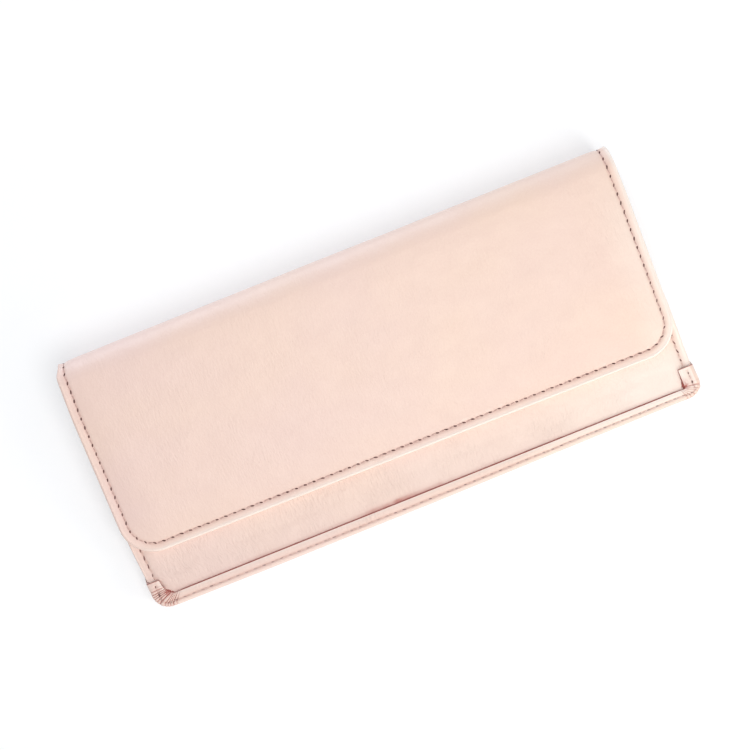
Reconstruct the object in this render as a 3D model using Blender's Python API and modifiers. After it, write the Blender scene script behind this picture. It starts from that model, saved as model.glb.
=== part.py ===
"""A flap clutch wallet, closed and lying on its back.

The leather runs from a turned lip at -Y, under the wallet, up the spine at +Y and back over
the top as a flap. Inside are card slots on the back, a zipped coin pocket in the middle and a
front panel, held together at the sides by folded gussets. The flap, the spine, the front
panel, the coin pocket, the zip slider and its pull each hang on an empty on their joint axis.
"""

import math

import bmesh
import bpy
from mathutils import Vector

mm = 0.001

# Overall sizes
wallet_length = 200.0 * mm
wallet_depth = 90.0 * mm
closed_height = 22.3 * mm
lip_height = 8.8 * mm

# Sheet materials and the clearance between two sheets
leather = 1.0 * mm
board = 0.8 * mm
lining = 0.3 * mm
slot_leather = 0.4 * mm
pocket_wall = 0.5 * mm
gusset_cloth = 0.4 * mm
sheet_gap = 0.3 * mm
edge_radius = 0.3 * mm

# Folds along the spine
lower_fold_radius = 4.0 * mm
upper_fold_radius = 7.0 * mm

# Turned lip with its corner tabs
lip_width = 4.1 * mm
lip_edge_radius = 1.2 * mm
lip_corner_radius = 6.0 * mm
tab_width = 5.5 * mm
tab_length = 12.0 * mm
body_side_inset = 0.5 * mm
lip_joint_overlap = 1.0 * mm

# Flap
flap_edge_from_lip = 19.0 * mm
flap_corner_radius = 12.0 * mm
flap_board_margin = 5.5 * mm
flap_lining_margin = 0.6 * mm
magnet_radius = 5.0 * mm
magnet_spacing = 110.0 * mm
magnet_from_flap_edge = 11.5 * mm

# Back panel and its card slots
back_lining_margin = 1.0 * mm
back_board_margin = 1.5 * mm
card_slot_rows = 3
card_slot_overlap = 12.0 * mm
top_slot_from_spine = 11.0 * mm
bottom_slot_from_hinge = 19.0 * mm

# Front panel
front_mouth_from_spine = 9.0 * mm
front_lining_start = 2.0 * mm
front_board_start = 12.5 * mm
front_board_end_margin = 3.0 * mm
front_lining_end_margin = 1.0 * mm
facing_height = 12.0 * mm

# Coin pocket
pocket_mouth_from_spine = 16.3 * mm
pocket_base_thickness = 1.3 * mm
pocket_base_place_share = 0.43
pocket_mouth_share = 0.355
rear_compartment_share = 0.445
pocket_bottom_seam = 4.0 * mm
pocket_side_seam = 3.0 * mm

# Side gussets
gusset_width = 9.9 * mm
gusset_edge_inset = 0.6 * mm
gusset_start_rise = 0.8 * mm
gusset_crease_rise = 0.7 * mm
gusset_end_margin = 1.0 * mm
gusset_clearance = 0.6 * mm

# Zip on the coin pocket
tape_thickness = 0.5 * mm
tape_slit = 1.0 * mm
coil_width = 1.15 * mm
coil_height = 1.1 * mm
coil_end_margin = 4.6 * mm
stop_length = 1.7 * mm
slider_length = 8.0 * mm
slider_plate = 0.6 * mm
slider_flange = 0.7 * mm
slider_from_end = 6.0 * mm
bridge_length = 2.6 * mm
bridge_width = 1.2 * mm
bridge_height = 2.1 * mm
bridge_hole_radius = 0.6 * mm
pull_pin_radius = 0.3 * mm
pull_length = 18.0 * mm
pull_width = 4.4 * mm
pull_thickness = 0.8 * mm
pull_corner_radius = 1.5 * mm
pull_window_length = 2.4 * mm

# One overrun serves every cutter
overrun = 2.0 * mm
fold_steps = 6
corner_steps = 6
round_steps = 20

# Places that follow from the sizes, in the plane across the wallet's length
half_length = wallet_length / 2
lip_y = -wallet_depth / 2
spine_y = wallet_depth / 2
hinge_y = lip_y + tab_length
front_height = lip_height - leather - sheet_gap
flap_rise = sheet_gap + lining + sheet_gap + board + sheet_gap + leather
board_floor = leather + sheet_gap
lining_floor = board_floor + board + sheet_gap
lining_top = lining_floor + lining
body_half_length = half_length - body_side_inset
gusset_outer_x = body_half_length - gusset_edge_inset
gusset_inner_x = gusset_outer_x - gusset_width + gusset_cloth
inner_half_length = gusset_inner_x - gusset_cloth / 2 - gusset_clearance


def wedge_angle():
    """Slope of the front panel and the flap, at which the rounded spine is as high as closed_height."""
    run = spine_y - upper_fold_radius - hinge_y
    rise = closed_height - front_height - upper_fold_radius
    offset = flap_rise - upper_fold_radius
    return math.acos(offset / math.hypot(run, rise)) - math.atan2(run, rise)


class Frame:
    """A place and a slope: v runs up the slope from the origin, w stands square to it."""

    def __init__(self, y, z, angle):
        self.y, self.z, self.angle = y, z, angle

    def at(self, v, w):
        cos, sin = math.cos(self.angle), math.sin(self.angle)
        return self.y + v * cos - w * sin, self.z + v * sin + w * cos

    def moved(self, v, w, turn=0.0):
        return Frame(*self.at(v, w), self.angle + turn)

    def v_at(self, y, w):
        return (y - self.y + w * math.sin(self.angle)) / math.cos(self.angle)


def height_at(frame, w, y):
    return frame.at(frame.v_at(y, w), w)[1]


level = Frame(0.0, 0.0, 0.0)
slope = Frame(hinge_y, front_height, wedge_angle())
front_length = slope.v_at(spine_y - front_mouth_from_spine, 0.0)
board_under = -leather - sheet_gap - board
lining_under = board_under - sheet_gap - lining
facing_under = lining_under - sheet_gap - slot_leather

# The coin pocket stands in the wedge between the card slots and the front panel's facing.
pocket_base_z = lining_top + (front_height - leather - lining_top) * pocket_base_place_share
pocket_mouth_y = spine_y - pocket_mouth_from_spine
mouth_floor = lining_top + sheet_gap + slot_leather
mouth_space = height_at(slope, facing_under, pocket_mouth_y) - mouth_floor
pocket_mouth_z = mouth_floor + mouth_space * (rear_compartment_share + pocket_mouth_share / 2)
pocket_run, pocket_lift = pocket_mouth_y - hinge_y, pocket_mouth_z - pocket_base_z
pocket = Frame(hinge_y, pocket_base_z, math.atan2(pocket_lift, pocket_run))
pocket_length = math.hypot(pocket_run, pocket_lift)
half_base = pocket_base_thickness / 2
half_mouth = mouth_space * pocket_mouth_share / 2
pocket_flare = math.atan2(half_mouth - half_base, pocket_length)
rear_wall = pocket.moved(0.0, -half_base, -pocket_flare)


class Fold:
    """A rounded fold of the leather: its arc, the plane that splits it and the axis it opens about."""

    def __init__(self, corner_y, corner_z, start, turn, radius):
        self.start, self.turn, self.radius = start, turn, radius
        reach = radius / math.cos(turn / 2)
        middle = start + turn / 2
        self.y = corner_y - reach * math.cos(middle)
        self.z = corner_z - reach * math.sin(middle)
        # The axis lies where the arc, rolled out flat, keeps its length.
        depth = radius - radius * turn / 2 / math.tan(turn / 2)
        share = depth / radius
        self.axis_y = corner_y + (self.y - corner_y) * share
        self.axis_z = corner_z + (self.z - corner_z) * share

    def arc(self, first, last):
        """Outer points from one angle to another, counted from the fold's start."""
        count = fold_steps
        angles = [self.start + first + (last - first) * i / count for i in range(count + 1)]
        return [(self.y + self.radius * math.cos(a), self.z + self.radius * math.sin(a)) for a in angles]

    def split_gap(self):
        return sheet_gap / 2 / (self.radius - leather)


flap_corner_z = slope.at(slope.v_at(spine_y, flap_rise), flap_rise)[1]
lower_fold = Fold(spine_y, 0.0, -math.pi / 2, math.pi / 2, lower_fold_radius)
upper_fold = Fold(spine_y, flap_corner_z, 0.0, math.pi / 2 + slope.angle, upper_fold_radius)
flap_edge_v = slope.v_at(lip_y + flap_edge_from_lip, flap_rise)
flap_bend_v = slope.v_at(upper_fold.y, flap_rise - upper_fold_radius)


def clear_scene():
    for old in list(bpy.data.objects):
        bpy.data.objects.remove(old, do_unlink=True)


def new_collection(name, hidden=False):
    collection = bpy.data.collections.new(name)
    bpy.context.scene.collection.children.link(collection)
    collection.hide_render = hidden
    return collection


def new_material(name, colour, roughness, metallic=0.0):
    material = bpy.data.materials.new(name)
    material.use_nodes = True
    shader = material.node_tree.nodes["Principled BSDF"]
    shader.inputs["Base Color"].default_value = (*colour, 1.0)
    shader.inputs["Roughness"].default_value = roughness
    shader.inputs["Metallic"].default_value = metallic
    material.diffuse_color = (*colour, 1.0)
    return material


clear_scene()
parts = new_collection("clutch_wallet")
cutters = new_collection("cutters", hidden=True)

blush = new_material("blush_leather", (0.87, 0.67, 0.60), 0.45)
inner_leather = new_material("inner_leather", (0.82, 0.61, 0.54), 0.5)
cloth = new_material("lining_cloth", (0.74, 0.62, 0.55), 0.8)
stiffener = new_material("board", (0.62, 0.57, 0.50), 0.9)
steel = new_material("plated_steel", (0.70, 0.69, 0.67), 0.3, 1.0)
tape = new_material("zip_tape", (0.76, 0.58, 0.52), 0.85)
coil = new_material("zip_coil", (0.80, 0.64, 0.58), 0.5)
metal = new_material("zip_metal", (0.83, 0.72, 0.55), 0.25, 1.0)


class Carrier:
    """An empty on a joint axis, which the pieces of one moving body hang on."""

    def __init__(self, name, y=0.0, z=0.0, x=0.0, parent=None):
        self.x, self.y, self.z = x, y, z
        self.empty = bpy.data.objects.new(name, None)
        parts.objects.link(self.empty)
        if parent:
            self.empty.parent = parent.empty
            self.empty.location = (x - parent.x, y - parent.y, z - parent.z)
        else:
            self.empty.location = (x, y, z)


back_carrier = Carrier("back_origin")
spine_carrier = Carrier("spine_axis", lower_fold.axis_y, lower_fold.axis_z, parent=back_carrier)
flap_carrier = Carrier("flap_axis", upper_fold.axis_y, upper_fold.axis_z, parent=spine_carrier)
front_carrier = Carrier("front_axis", slope.y, slope.z, parent=back_carrier)
pocket_carrier = Carrier("coin_pocket_axis", pocket.y, pocket.z, parent=back_carrier)


def placed(name, mesh, material, carrier, frame=level, x=0.0):
    """Turns a mesh, drawn in a frame's own x, v and w, into a part that hangs on its carrier."""
    part = bpy.data.objects.new(name, mesh)
    part.data.materials.append(material)
    parts.objects.link(part)
    part.parent = carrier.empty
    part.location = (x - carrier.x, frame.y - carrier.y, frame.z - carrier.z)
    part.rotation_euler.x = frame.angle
    return part


def as_cutter(part):
    parts.objects.unlink(part)
    cutters.objects.link(part)
    part.hide_render = True
    part.display_type = "WIRE"
    return part


def combine(part, other, operation):
    boolean = part.modifiers.new(other.name, "BOOLEAN")
    boolean.operation = operation
    boolean.solver = "EXACT"
    boolean.object = other


def cut(part, cutter):
    combine(part, as_cutter(cutter), "DIFFERENCE")


def join(part, other):
    combine(part, as_cutter(other), "UNION")


def round_edges(part, width=edge_radius, segments=2):
    bevel = part.modifiers.new("edges", "BEVEL")
    bevel.width = width
    bevel.segments = segments
    bevel.limit_method = "ANGLE"
    bevel.angle_limit = math.radians(50)


def arc_points(centre_x, centre_v, radius, first, last):
    if radius <= 0:
        return [(centre_x, centre_v)]
    angles = [first + (last - first) * i / corner_steps for i in range(corner_steps + 1)]
    return [(centre_x + radius * math.cos(a), centre_v + radius * math.sin(a)) for a in angles]


def outline(half_width, near, far, near_radius=0.0, far_radius=0.0):
    """A rectangle in x and v with its near and far corners rounded, as points anticlockwise."""
    quarter = math.pi / 2
    corners = [
        (-half_width + near_radius, near + near_radius, near_radius, 2 * quarter),
        (half_width - near_radius, near + near_radius, near_radius, 3 * quarter),
        (half_width - far_radius, far - far_radius, far_radius, 4 * quarter),
        (-half_width + far_radius, far - far_radius, far_radius, 5 * quarter),
    ]
    points = []
    for x, v, radius, start in corners:
        points += arc_points(x, v, radius, start, start + quarter)
    return points


def solid_between(name, rings):
    """A closed mesh through rings of equally many points, capped at both ends."""
    work = bmesh.new()
    loops = [[work.verts.new(point) for point in ring] for ring in rings]
    count = len(loops[0])
    work.faces.new(loops[0])
    work.faces.new(loops[-1])
    for low, high in zip(loops, loops[1:]):
        for i in range(count):
            j = (i + 1) % count
            work.faces.new((low[i], low[j], high[j], high[i]))
    bmesh.ops.recalc_face_normals(work, faces=work.faces)
    mesh = bpy.data.meshes.new(name)
    work.to_mesh(mesh)
    work.free()
    return mesh


def slab(name, points, low, high):
    """A flat outline in x and v, from one height w to another."""
    return solid_between(name, [[(x, v, w) for x, v in points] for w in (low, high)])


def prism(name, section, first_x, last_x):
    """A section in v and w, drawn out along x."""
    return solid_between(name, [[(x, v, w) for v, w in section] for x in (first_x, last_x)])


def folded_sheet(name, path, half_width, material, carrier, corner_radius=0.0, outside_up=False):
    """Leather along a path of outer points in y and z towards -Y, whose last run ends in rounded corners."""
    work = bmesh.new()
    near = [(y - carrier.y, z - carrier.z) for y, z in path]
    pairs = [[work.verts.new((x, y, z)) for x in (-half_width, half_width)] for y, z in near[:-1]]
    for first, second in zip(pairs, pairs[1:]):
        work.faces.new((first[0], first[1], second[1], second[0]))
    start, end = Vector(near[-2]), Vector(near[-1])
    run = (end - start).normalized()
    length = (end - start).length
    far = []
    for x, v in outline(half_width, 0.0, length, 0.0, corner_radius)[2:]:
        far.append(work.verts.new((x, start.x + run.x * v, start.y + run.y * v)))
    work.faces.new((pairs[-1][0], pairs[-1][1], *far))
    if outside_up:
        bmesh.ops.reverse_faces(work, faces=work.faces)
    mesh = bpy.data.meshes.new(name)
    work.to_mesh(mesh)
    work.free()
    part = bpy.data.objects.new(name, mesh)
    part.data.materials.append(material)
    parts.objects.link(part)
    part.parent = carrier.empty
    shell = part.modifiers.new("thickness", "SOLIDIFY")
    shell.thickness = leather
    shell.offset = -1.0
    shell.use_even_offset = True
    return part


def disc(name, radius, low, high, x, v):
    points = []
    for i in range(round_steps):
        angle = 2 * math.pi * i / round_steps
        points.append((x + radius * math.cos(angle), v + radius * math.sin(angle)))
    return slab(name, points, low, high)


def smooth_round(part):
    part.data.shade_smooth()
    part.data.set_sharp_from_angle(angle=math.radians(40))


def make_back_leather():
    """The back sheet, half of the lower fold, and the lip that turns up and over the front."""
    fold_end = lower_fold.turn / 2 - lower_fold.split_gap()
    path = lower_fold.arc(fold_end, 0.0)
    path.append((hinge_y - lip_joint_overlap, 0.0))
    sheet = folded_sheet("back_leather", path, body_half_length, blush, back_carrier)

    rings = [(0.0, 0.0)]
    for i in range(corner_steps + 1):
        angle = math.pi / 2 * i / corner_steps
        inset = lip_edge_radius * (1 - math.cos(angle))
        rings.append((lip_height - lip_edge_radius * (1 - math.sin(angle)), inset))
    levels = []
    for height, inset in rings:
        points = outline(half_length - inset, lip_y + inset, hinge_y, lip_corner_radius - inset)
        levels.append([(x, y, height) for x, y in points])
    lip = placed("lip_block", solid_between("lip_block", levels), blush, back_carrier)

    inside = outline(half_length - leather, lip_y + leather, hinge_y + overrun, lip_corner_radius - leather)
    room = slab("lip_room", inside, leather, lip_height - leather)
    cut(lip, placed("lip_room", room, blush, back_carrier))
    window = outline(half_length - tab_width, lip_y + lip_width, hinge_y + overrun)
    hole = slab("lip_window", window, lip_height / 2, lip_height + overrun)
    cut(lip, placed("lip_window", hole, blush, back_carrier))
    join(sheet, lip)
    smooth_round(sheet)


def make_back_inside():
    """The board and lining of the back, the card slots on them and the sewn hem under the lip."""
    near = lip_y + leather + sheet_gap
    far = lower_fold.y
    corner = lip_corner_radius - leather - sheet_gap
    half_board = half_length - leather - back_board_margin
    sheet = outline(half_board, near, far, corner)
    placed("back_board", slab("back_board", sheet, board_floor, board_floor + board), stiffener, back_carrier)
    half_lining = half_length - leather - back_lining_margin
    sheet = outline(half_lining, near, far, corner)
    placed("back_lining", slab("back_lining", sheet, lining_floor, lining_top), cloth, back_carrier)

    first_top = spine_y - top_slot_from_spine
    reach = first_top - hinge_y - bottom_slot_from_hinge
    step = (reach - card_slot_overlap) / card_slot_rows
    for i, name in enumerate(("card_slot_top", "card_slot_middle", "card_slot_bottom")):
        top = first_top - step * i
        low = lining_top + sheet_gap + (slot_leather + sheet_gap) * i
        sheet = outline(inner_half_length, top - step - card_slot_overlap, top)
        placed(name, slab(name, sheet, low, low + slot_leather), inner_leather, back_carrier)

    foot_half = half_length - leather - sheet_gap
    foot_end = hinge_y - sheet_gap / 2
    sheet = outline(foot_half, near, foot_end, corner)
    foot = slab("front_leather_foot", sheet, front_height - leather, front_height)
    placed("front_leather_foot", foot, blush, back_carrier)
    low = lining_top + sheet_gap
    high = front_height - leather - sheet_gap
    placed("bottom_seam_hem", slab("bottom_seam_hem", sheet, low, high), cloth, back_carrier)


def make_spine():
    """The leather between the two folds, with a stiff board and a lining behind it."""
    path = lower_fold.arc(lower_fold.turn / 2 + lower_fold.split_gap(), lower_fold.turn)
    path += upper_fold.arc(0.0, upper_fold.turn / 2 - upper_fold.split_gap())
    path.reverse()
    sheet = folded_sheet("spine_leather", path, half_length, blush, spine_carrier)
    round_edges(sheet)
    smooth_round(sheet)

    low, high = lower_fold.z, upper_fold.z
    outer = spine_y - leather - sheet_gap
    for name, thickness, margin, material in (
        ("spine_board", board, back_board_margin, stiffener),
        ("spine_lining", lining, back_lining_margin, cloth),
    ):
        section = [(outer - thickness, low), (outer, low), (outer, high), (outer - thickness, high)]
        half = body_half_length - margin
        placed(name, prism(name, section, -half, half), material, spine_carrier)
        outer -= thickness + sheet_gap


def make_flap():
    """The flap: leather outside, a board with two magnets in it, and a lining."""
    path = upper_fold.arc(upper_fold.turn / 2 + upper_fold.split_gap(), upper_fold.turn)
    path.append(slope.at(flap_edge_v, flap_rise))
    sheet = folded_sheet("flap_leather", path, half_length, blush, flap_carrier, flap_corner_radius, True)
    round_edges(sheet)
    smooth_round(sheet)

    low = sheet_gap
    margin = flap_lining_margin
    points = outline(half_length - margin, flap_edge_v + margin, flap_bend_v, flap_corner_radius - margin)
    placed("flap_lining", slab("flap_lining", points, low, low + lining), cloth, flap_carrier, slope)

    low += lining + sheet_gap
    margin = flap_board_margin
    points = outline(half_length - margin, flap_edge_v + margin, flap_bend_v, flap_corner_radius - margin)
    sheet = placed("flap_board", slab("flap_board", points, low, low + board), stiffener, flap_carrier, slope)
    magnet_v = flap_edge_v + magnet_from_flap_edge
    add_discs(sheet, "flap_magnet", low, magnet_v, flap_carrier)


def add_discs(sheet, name, low, v, carrier):
    """Two metal discs, each loose in its own hole through a board."""
    for side, x in (("left", -magnet_spacing / 2), ("right", magnet_spacing / 2)):
        hole = disc(name + "_hole_" + side, magnet_radius + sheet_gap, low - overrun, low + board + overrun, x, v)
        cut(sheet, placed(name + "_hole_" + side, hole, stiffener, carrier, slope))
        piece = disc(name + "_" + side, magnet_radius, low, low + board, x, v)
        smooth_round(placed(name + "_" + side, piece, steel, carrier, slope))


def make_front():
    """The front panel: leather outside, a board with two steel keepers, a lining and its facing."""
    near = sheet_gap / 2
    points = outline(body_half_length, near, front_length)
    sheet = placed("front_leather", slab("front_leather", points, -leather, 0.0), blush, front_carrier, slope)
    round_edges(sheet)

    points = outline(inner_half_length, front_board_start, front_length - front_board_end_margin)
    sheet = slab("front_board", points, board_under, board_under + board)
    sheet = placed("front_board", sheet, stiffener, front_carrier, slope)
    add_discs(sheet, "front_keeper", board_under, flap_edge_v + magnet_from_flap_edge, front_carrier)

    # The lining hugs the leather near the lip and then steps down under the board.
    high = -leather - sheet_gap
    step = front_board_start - sheet_gap
    end = front_length - front_lining_end_margin
    section = [
        (front_lining_start, high),
        (step, lining_under + lining),
        (end, lining_under + lining),
        (end, lining_under),
        (step, lining_under),
        (front_lining_start, high - lining),
    ]
    sheet = prism("front_lining", section, -inner_half_length, inner_half_length)
    placed("front_lining", sheet, cloth, front_carrier, slope)
    points = outline(inner_half_length, end - facing_height, end)
    facing = slab("front_facing", points, facing_under, facing_under + slot_leather)
    placed("front_facing", facing, inner_leather, front_carrier, slope)


def make_coin_pocket():
    """Two walls that part from the bottom seam to the mouth; the rear one reaches into the gussets."""
    near = sheet_gap / 2
    reach = gusset_outer_x - gusset_cloth / 2 - sheet_gap
    points = outline(reach, near, pocket_length)
    wall = slab("pocket_rear_wall", points, 0.0, pocket_wall)
    placed("pocket_rear_wall", wall, cloth, pocket_carrier, rear_wall)

    half = inner_half_length
    behind = pocket_wall + sheet_gap
    outer = [
        (near, behind - half_base),
        (pocket_length, behind - half_mouth),
        (pocket_length, half_mouth),
        (near, half_base),
    ]
    wall = placed("pocket_front_wall", prism("pocket_front_wall", outer, -half, half), cloth, pocket_carrier, pocket)
    seam_share = pocket_bottom_seam / pocket_length
    seam_w = half_base + (half_mouth - half_base) * seam_share - pocket_wall
    room_end_w = half_mouth - pocket_wall + (half_mouth - half_base) * overrun / pocket_length
    room = [
        (pocket_bottom_seam, -half_mouth - overrun),
        (pocket_length + overrun, -half_mouth - overrun),
        (pocket_length + overrun, room_end_w),
        (pocket_bottom_seam, seam_w),
    ]
    inner_half = half - pocket_side_seam
    cut(wall, placed("pocket_room", prism("pocket_room", room, -inner_half, inner_half), cloth, pocket_carrier, pocket))


tape_floor = pocket_length + sheet_gap
coil_floor = tape_floor + tape_thickness + sheet_gap
coil_top = coil_floor + coil_height
coil_side = sheet_gap / 2 + coil_width
coil_end = inner_half_length - coil_end_margin
slider_x = coil_end - slider_from_end
bridge_floor = coil_top + sheet_gap + slider_plate
pull_v = bridge_floor + bridge_height / 2


def make_zip():
    """Two tapes on the mouth of the coin pocket, a coil along each, and a stop at both ends."""
    half = inner_half_length
    for name, side in (("rear", -1), ("front", 1)):
        section = [
            (tape_floor, side * half_mouth),
            (tape_floor, side * tape_slit / 2),
            (tape_floor + tape_thickness, side * tape_slit / 2),
            (tape_floor + tape_thickness, side * half_mouth),
        ]
        strip = prism("zip_tape_" + name, section, -half, half)
        placed("zip_tape_" + name, strip, tape, pocket_carrier, pocket)
        section = [
            (coil_floor, side * coil_side),
            (coil_floor, side * sheet_gap / 2),
            (coil_top, side * sheet_gap / 2),
            (coil_top, side * coil_side),
        ]
        strip = prism("zip_coil_" + name, section, -coil_end, coil_end)
        placed("zip_coil_" + name, strip, coil, pocket_carrier, pocket)
    section = [(coil_floor, -coil_side), (coil_floor, coil_side), (coil_top, coil_side), (coil_top, -coil_side)]
    for name, side in (("left", -1), ("right", 1)):
        first = side * (coil_end + sheet_gap)
        block = prism("zip_stop_" + name, section, first, first + side * stop_length)
        placed("zip_stop_" + name, block, metal, pocket_carrier, pocket)


def make_slider():
    """The slider rides over both coils and carries a bridge, in which the pull's pin turns."""
    inner = coil_side + sheet_gap
    outer = inner + slider_flange
    section = [
        (coil_floor, outer),
        (bridge_floor, outer),
        (bridge_floor, -outer),
        (coil_floor, -outer),
        (coil_floor, -inner),
        (bridge_floor - slider_plate, -inner),
        (bridge_floor - slider_plate, inner),
        (coil_floor, inner),
    ]
    y, z = pocket.at(pull_v, 0.0)
    slider_carrier = Carrier("zip_slider_origin", y, z, slider_x, pocket_carrier)
    body = prism("zip_slider", section, -slider_length / 2, slider_length / 2)
    slider = placed("zip_slider", body, metal, slider_carrier, pocket, slider_x)

    sunk = bridge_floor - slider_plate / 2
    top = bridge_floor + bridge_height
    half = bridge_width / 2
    section = [(sunk, half), (top, half), (top, -half), (sunk, -half)]
    bridge = prism("slider_bridge", section, -bridge_length / 2, bridge_length / 2)
    join(slider, placed("slider_bridge", bridge, metal, slider_carrier, pocket, slider_x))
    hole = pin_mesh("slider_hole", bridge_hole_radius, half + overrun)
    cut(slider, placed("slider_hole", hole, metal, slider_carrier, pocket, slider_x))

    pull_carrier = Carrier("zip_pull_axis", y, z, slider_x, slider_carrier)
    half = pull_width / 2
    points = [(x, w) for w, x in outline(half, -pull_length, 0.0, pull_corner_radius)]
    rings = [[(x, pull_v + side * pull_thickness / 2, w) for x, w in points] for side in (-1, 1)]
    tab = placed("zip_pull", solid_between("zip_pull", rings), metal, pull_carrier, pocket, slider_x)
    room = bridge_width / 2 + sheet_gap
    window = [(-pull_window_length, -room), (overrun, -room), (overrun, room), (-pull_window_length, room)]
    rings = [[(x, pull_v + side * (pull_thickness + overrun), w) for x, w in window] for side in (-1, 1)]
    cut(tab, placed("pull_window", solid_between("pull_window", rings), metal, pull_carrier, pocket, slider_x))
    pin = pin_mesh("pull_pin", pull_pin_radius, half - pull_pin_radius)
    join(tab, placed("pull_pin", pin, metal, pull_carrier, pocket, slider_x))
    smooth_round(tab)


def pin_mesh(name, radius, half_width):
    """A round pin across the zip, on the axis of the pull."""
    rings = []
    for w in (-half_width, half_width):
        ring = []
        for i in range(round_steps):
            angle = 2 * math.pi * i / round_steps
            ring.append((radius * math.cos(angle), pull_v + radius * math.sin(angle), w))
        rings.append(ring)
    return solid_between(name, rings)


def make_gusset(name, side, low, high, carrier):
    """One inward fold of cloth between two panels, whose heights are given at its two ends."""
    ends = []
    for frame_low, frame_high, y in zip(low, high, gusset_ends):
        slant = (frame_high - frame_low - gusset_crease_rise) / 2
        ends.append(
            [
                (side * gusset_outer_x, y, frame_low),
                (side * gusset_inner_x, y, frame_low + slant),
                (side * gusset_inner_x, y, frame_high - slant),
                (side * gusset_outer_x, y, frame_high),
            ]
        )
    work = bmesh.new()
    rows = [[work.verts.new((x, y - carrier.y, z - carrier.z)) for x, y, z in end] for end in ends]
    for i in range(len(rows[0]) - 1):
        work.faces.new((rows[0][i], rows[0][i + 1], rows[1][i + 1], rows[1][i]))
    mesh = bpy.data.meshes.new(name)
    work.to_mesh(mesh)
    work.free()
    part = bpy.data.objects.new(name, mesh)
    part.data.materials.append(cloth)
    parts.objects.link(part)
    part.parent = carrier.empty
    shell = part.modifiers.new("thickness", "SOLIDIFY")
    shell.thickness = gusset_cloth
    shell.offset = 0.0
    shell.use_even_offset = True


# The gussets start where the gap behind the coin pocket is wide enough for their fold.
gusset_clear = sheet_gap + gusset_cloth / 2
gusset_start_z = lining_top + 2 * gusset_clear + gusset_start_rise
gusset_start_y = rear_wall.y + (gusset_start_z - rear_wall.z) / math.tan(rear_wall.angle)
gusset_ends = (gusset_start_y, rear_wall.at(pocket_length - gusset_end_margin, 0.0)[0])


def make_gussets():
    clear = gusset_clear
    floor = [lining_top + clear for _ in gusset_ends]
    under_wall = [height_at(rear_wall, 0.0, y) - clear for y in gusset_ends]
    over_wall = [height_at(rear_wall, pocket_wall, y) + clear for y in gusset_ends]
    under_front = [height_at(slope, -leather, y) - clear for y in gusset_ends]
    for name, side in (("left", -1), ("right", 1)):
        make_gusset("gusset_rear_" + name, side, floor, under_wall, back_carrier)
        make_gusset("gusset_front_" + name, side, over_wall, under_front, front_carrier)


make_back_leather()
make_back_inside()
make_spine()
make_flap()
make_front()
make_coin_pocket()
make_zip()
make_slider()
make_gussets()
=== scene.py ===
"""Looks of a blush leather clutch wallet, closed and lying on its back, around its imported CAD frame.

Every sheet of leather or cloth is laid out flat, in x along the wallet and s across it, and then
placed along a path that runs over the folds. Its rim, seam groove and puckers are in the mesh.
"""

import math

import bmesh
import bpy
import numpy as np
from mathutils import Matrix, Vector


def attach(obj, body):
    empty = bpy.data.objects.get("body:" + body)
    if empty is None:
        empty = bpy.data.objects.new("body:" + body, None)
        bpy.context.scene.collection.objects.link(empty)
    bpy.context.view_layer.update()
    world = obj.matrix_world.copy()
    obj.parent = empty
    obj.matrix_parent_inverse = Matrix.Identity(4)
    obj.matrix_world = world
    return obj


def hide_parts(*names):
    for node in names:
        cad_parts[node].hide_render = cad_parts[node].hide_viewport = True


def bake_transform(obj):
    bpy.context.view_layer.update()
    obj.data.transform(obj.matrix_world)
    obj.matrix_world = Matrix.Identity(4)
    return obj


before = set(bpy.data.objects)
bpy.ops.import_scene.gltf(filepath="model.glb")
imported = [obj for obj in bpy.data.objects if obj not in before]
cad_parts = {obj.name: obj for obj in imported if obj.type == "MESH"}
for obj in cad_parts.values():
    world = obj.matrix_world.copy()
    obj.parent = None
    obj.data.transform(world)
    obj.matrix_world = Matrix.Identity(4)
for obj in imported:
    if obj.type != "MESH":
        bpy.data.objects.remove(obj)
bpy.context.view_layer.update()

mm = 0.001

# Sizes of the wallet, as in its CAD source
half_length = 100.0 * mm
lip_y = -45.0 * mm
spine_y = 45.0 * mm
closed_height = 22.3 * mm
lip_height = 8.8 * mm
leather = 1.0 * mm
board = 0.8 * mm
lining = 0.3 * mm
slot_leather = 0.4 * mm
pocket_wall = 0.5 * mm
gusset_cloth = 0.4 * mm
sheet_gap = 0.3 * mm
lower_fold_radius = 4.0 * mm
upper_fold_radius = 7.0 * mm
lip_width = 4.1 * mm
lip_corner_radius = 6.0 * mm
tab_width = 5.5 * mm
hinge_y = -33.0 * mm
body_half_length = 99.5 * mm
flap_edge_from_lip = 19.0 * mm
flap_corner_radius = 12.0 * mm
front_mouth_y = 36.0 * mm
inner_half_length = 88.6 * mm
gusset_outer_x = 98.9 * mm
gusset_inner_x = 89.4 * mm

# Places that follow, as in the CAD source
front_height = lip_height - leather - sheet_gap
flap_rise = sheet_gap + lining + sheet_gap + board + sheet_gap + leather
lining_top = leather + sheet_gap + board + sheet_gap + lining
lining_depth = lining_top - lining / 2
split_z = 10.0 * mm

# Seams
stitch_pitch = 3.2 * mm
flap_seam_inset = 3.05 * mm
side_seam_inset = 2.8 * mm
lip_seam_inset = 1.75 * mm
thread_radius = 0.17 * mm
groove_depth = 0.36 * mm
flap_pad = 0.25 * mm
back_pad = 0.1 * mm

# Edges of the leather, turned under
rim_radius = 0.95 * mm
rim_band = 7.0 * mm
rim_top = 1.3 * mm


def wedge_angle():
    """Slope of the front panel and the flap."""
    run = spine_y - upper_fold_radius - hinge_y
    rise = closed_height - front_height - upper_fold_radius
    offset = flap_rise - upper_fold_radius
    return math.acos(offset / math.hypot(run, rise)) - math.atan2(run, rise)


slope = wedge_angle()


def slope_v(y, w):
    return (y - hinge_y + w * math.sin(slope)) / math.cos(slope)


# Numeric helpers


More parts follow.
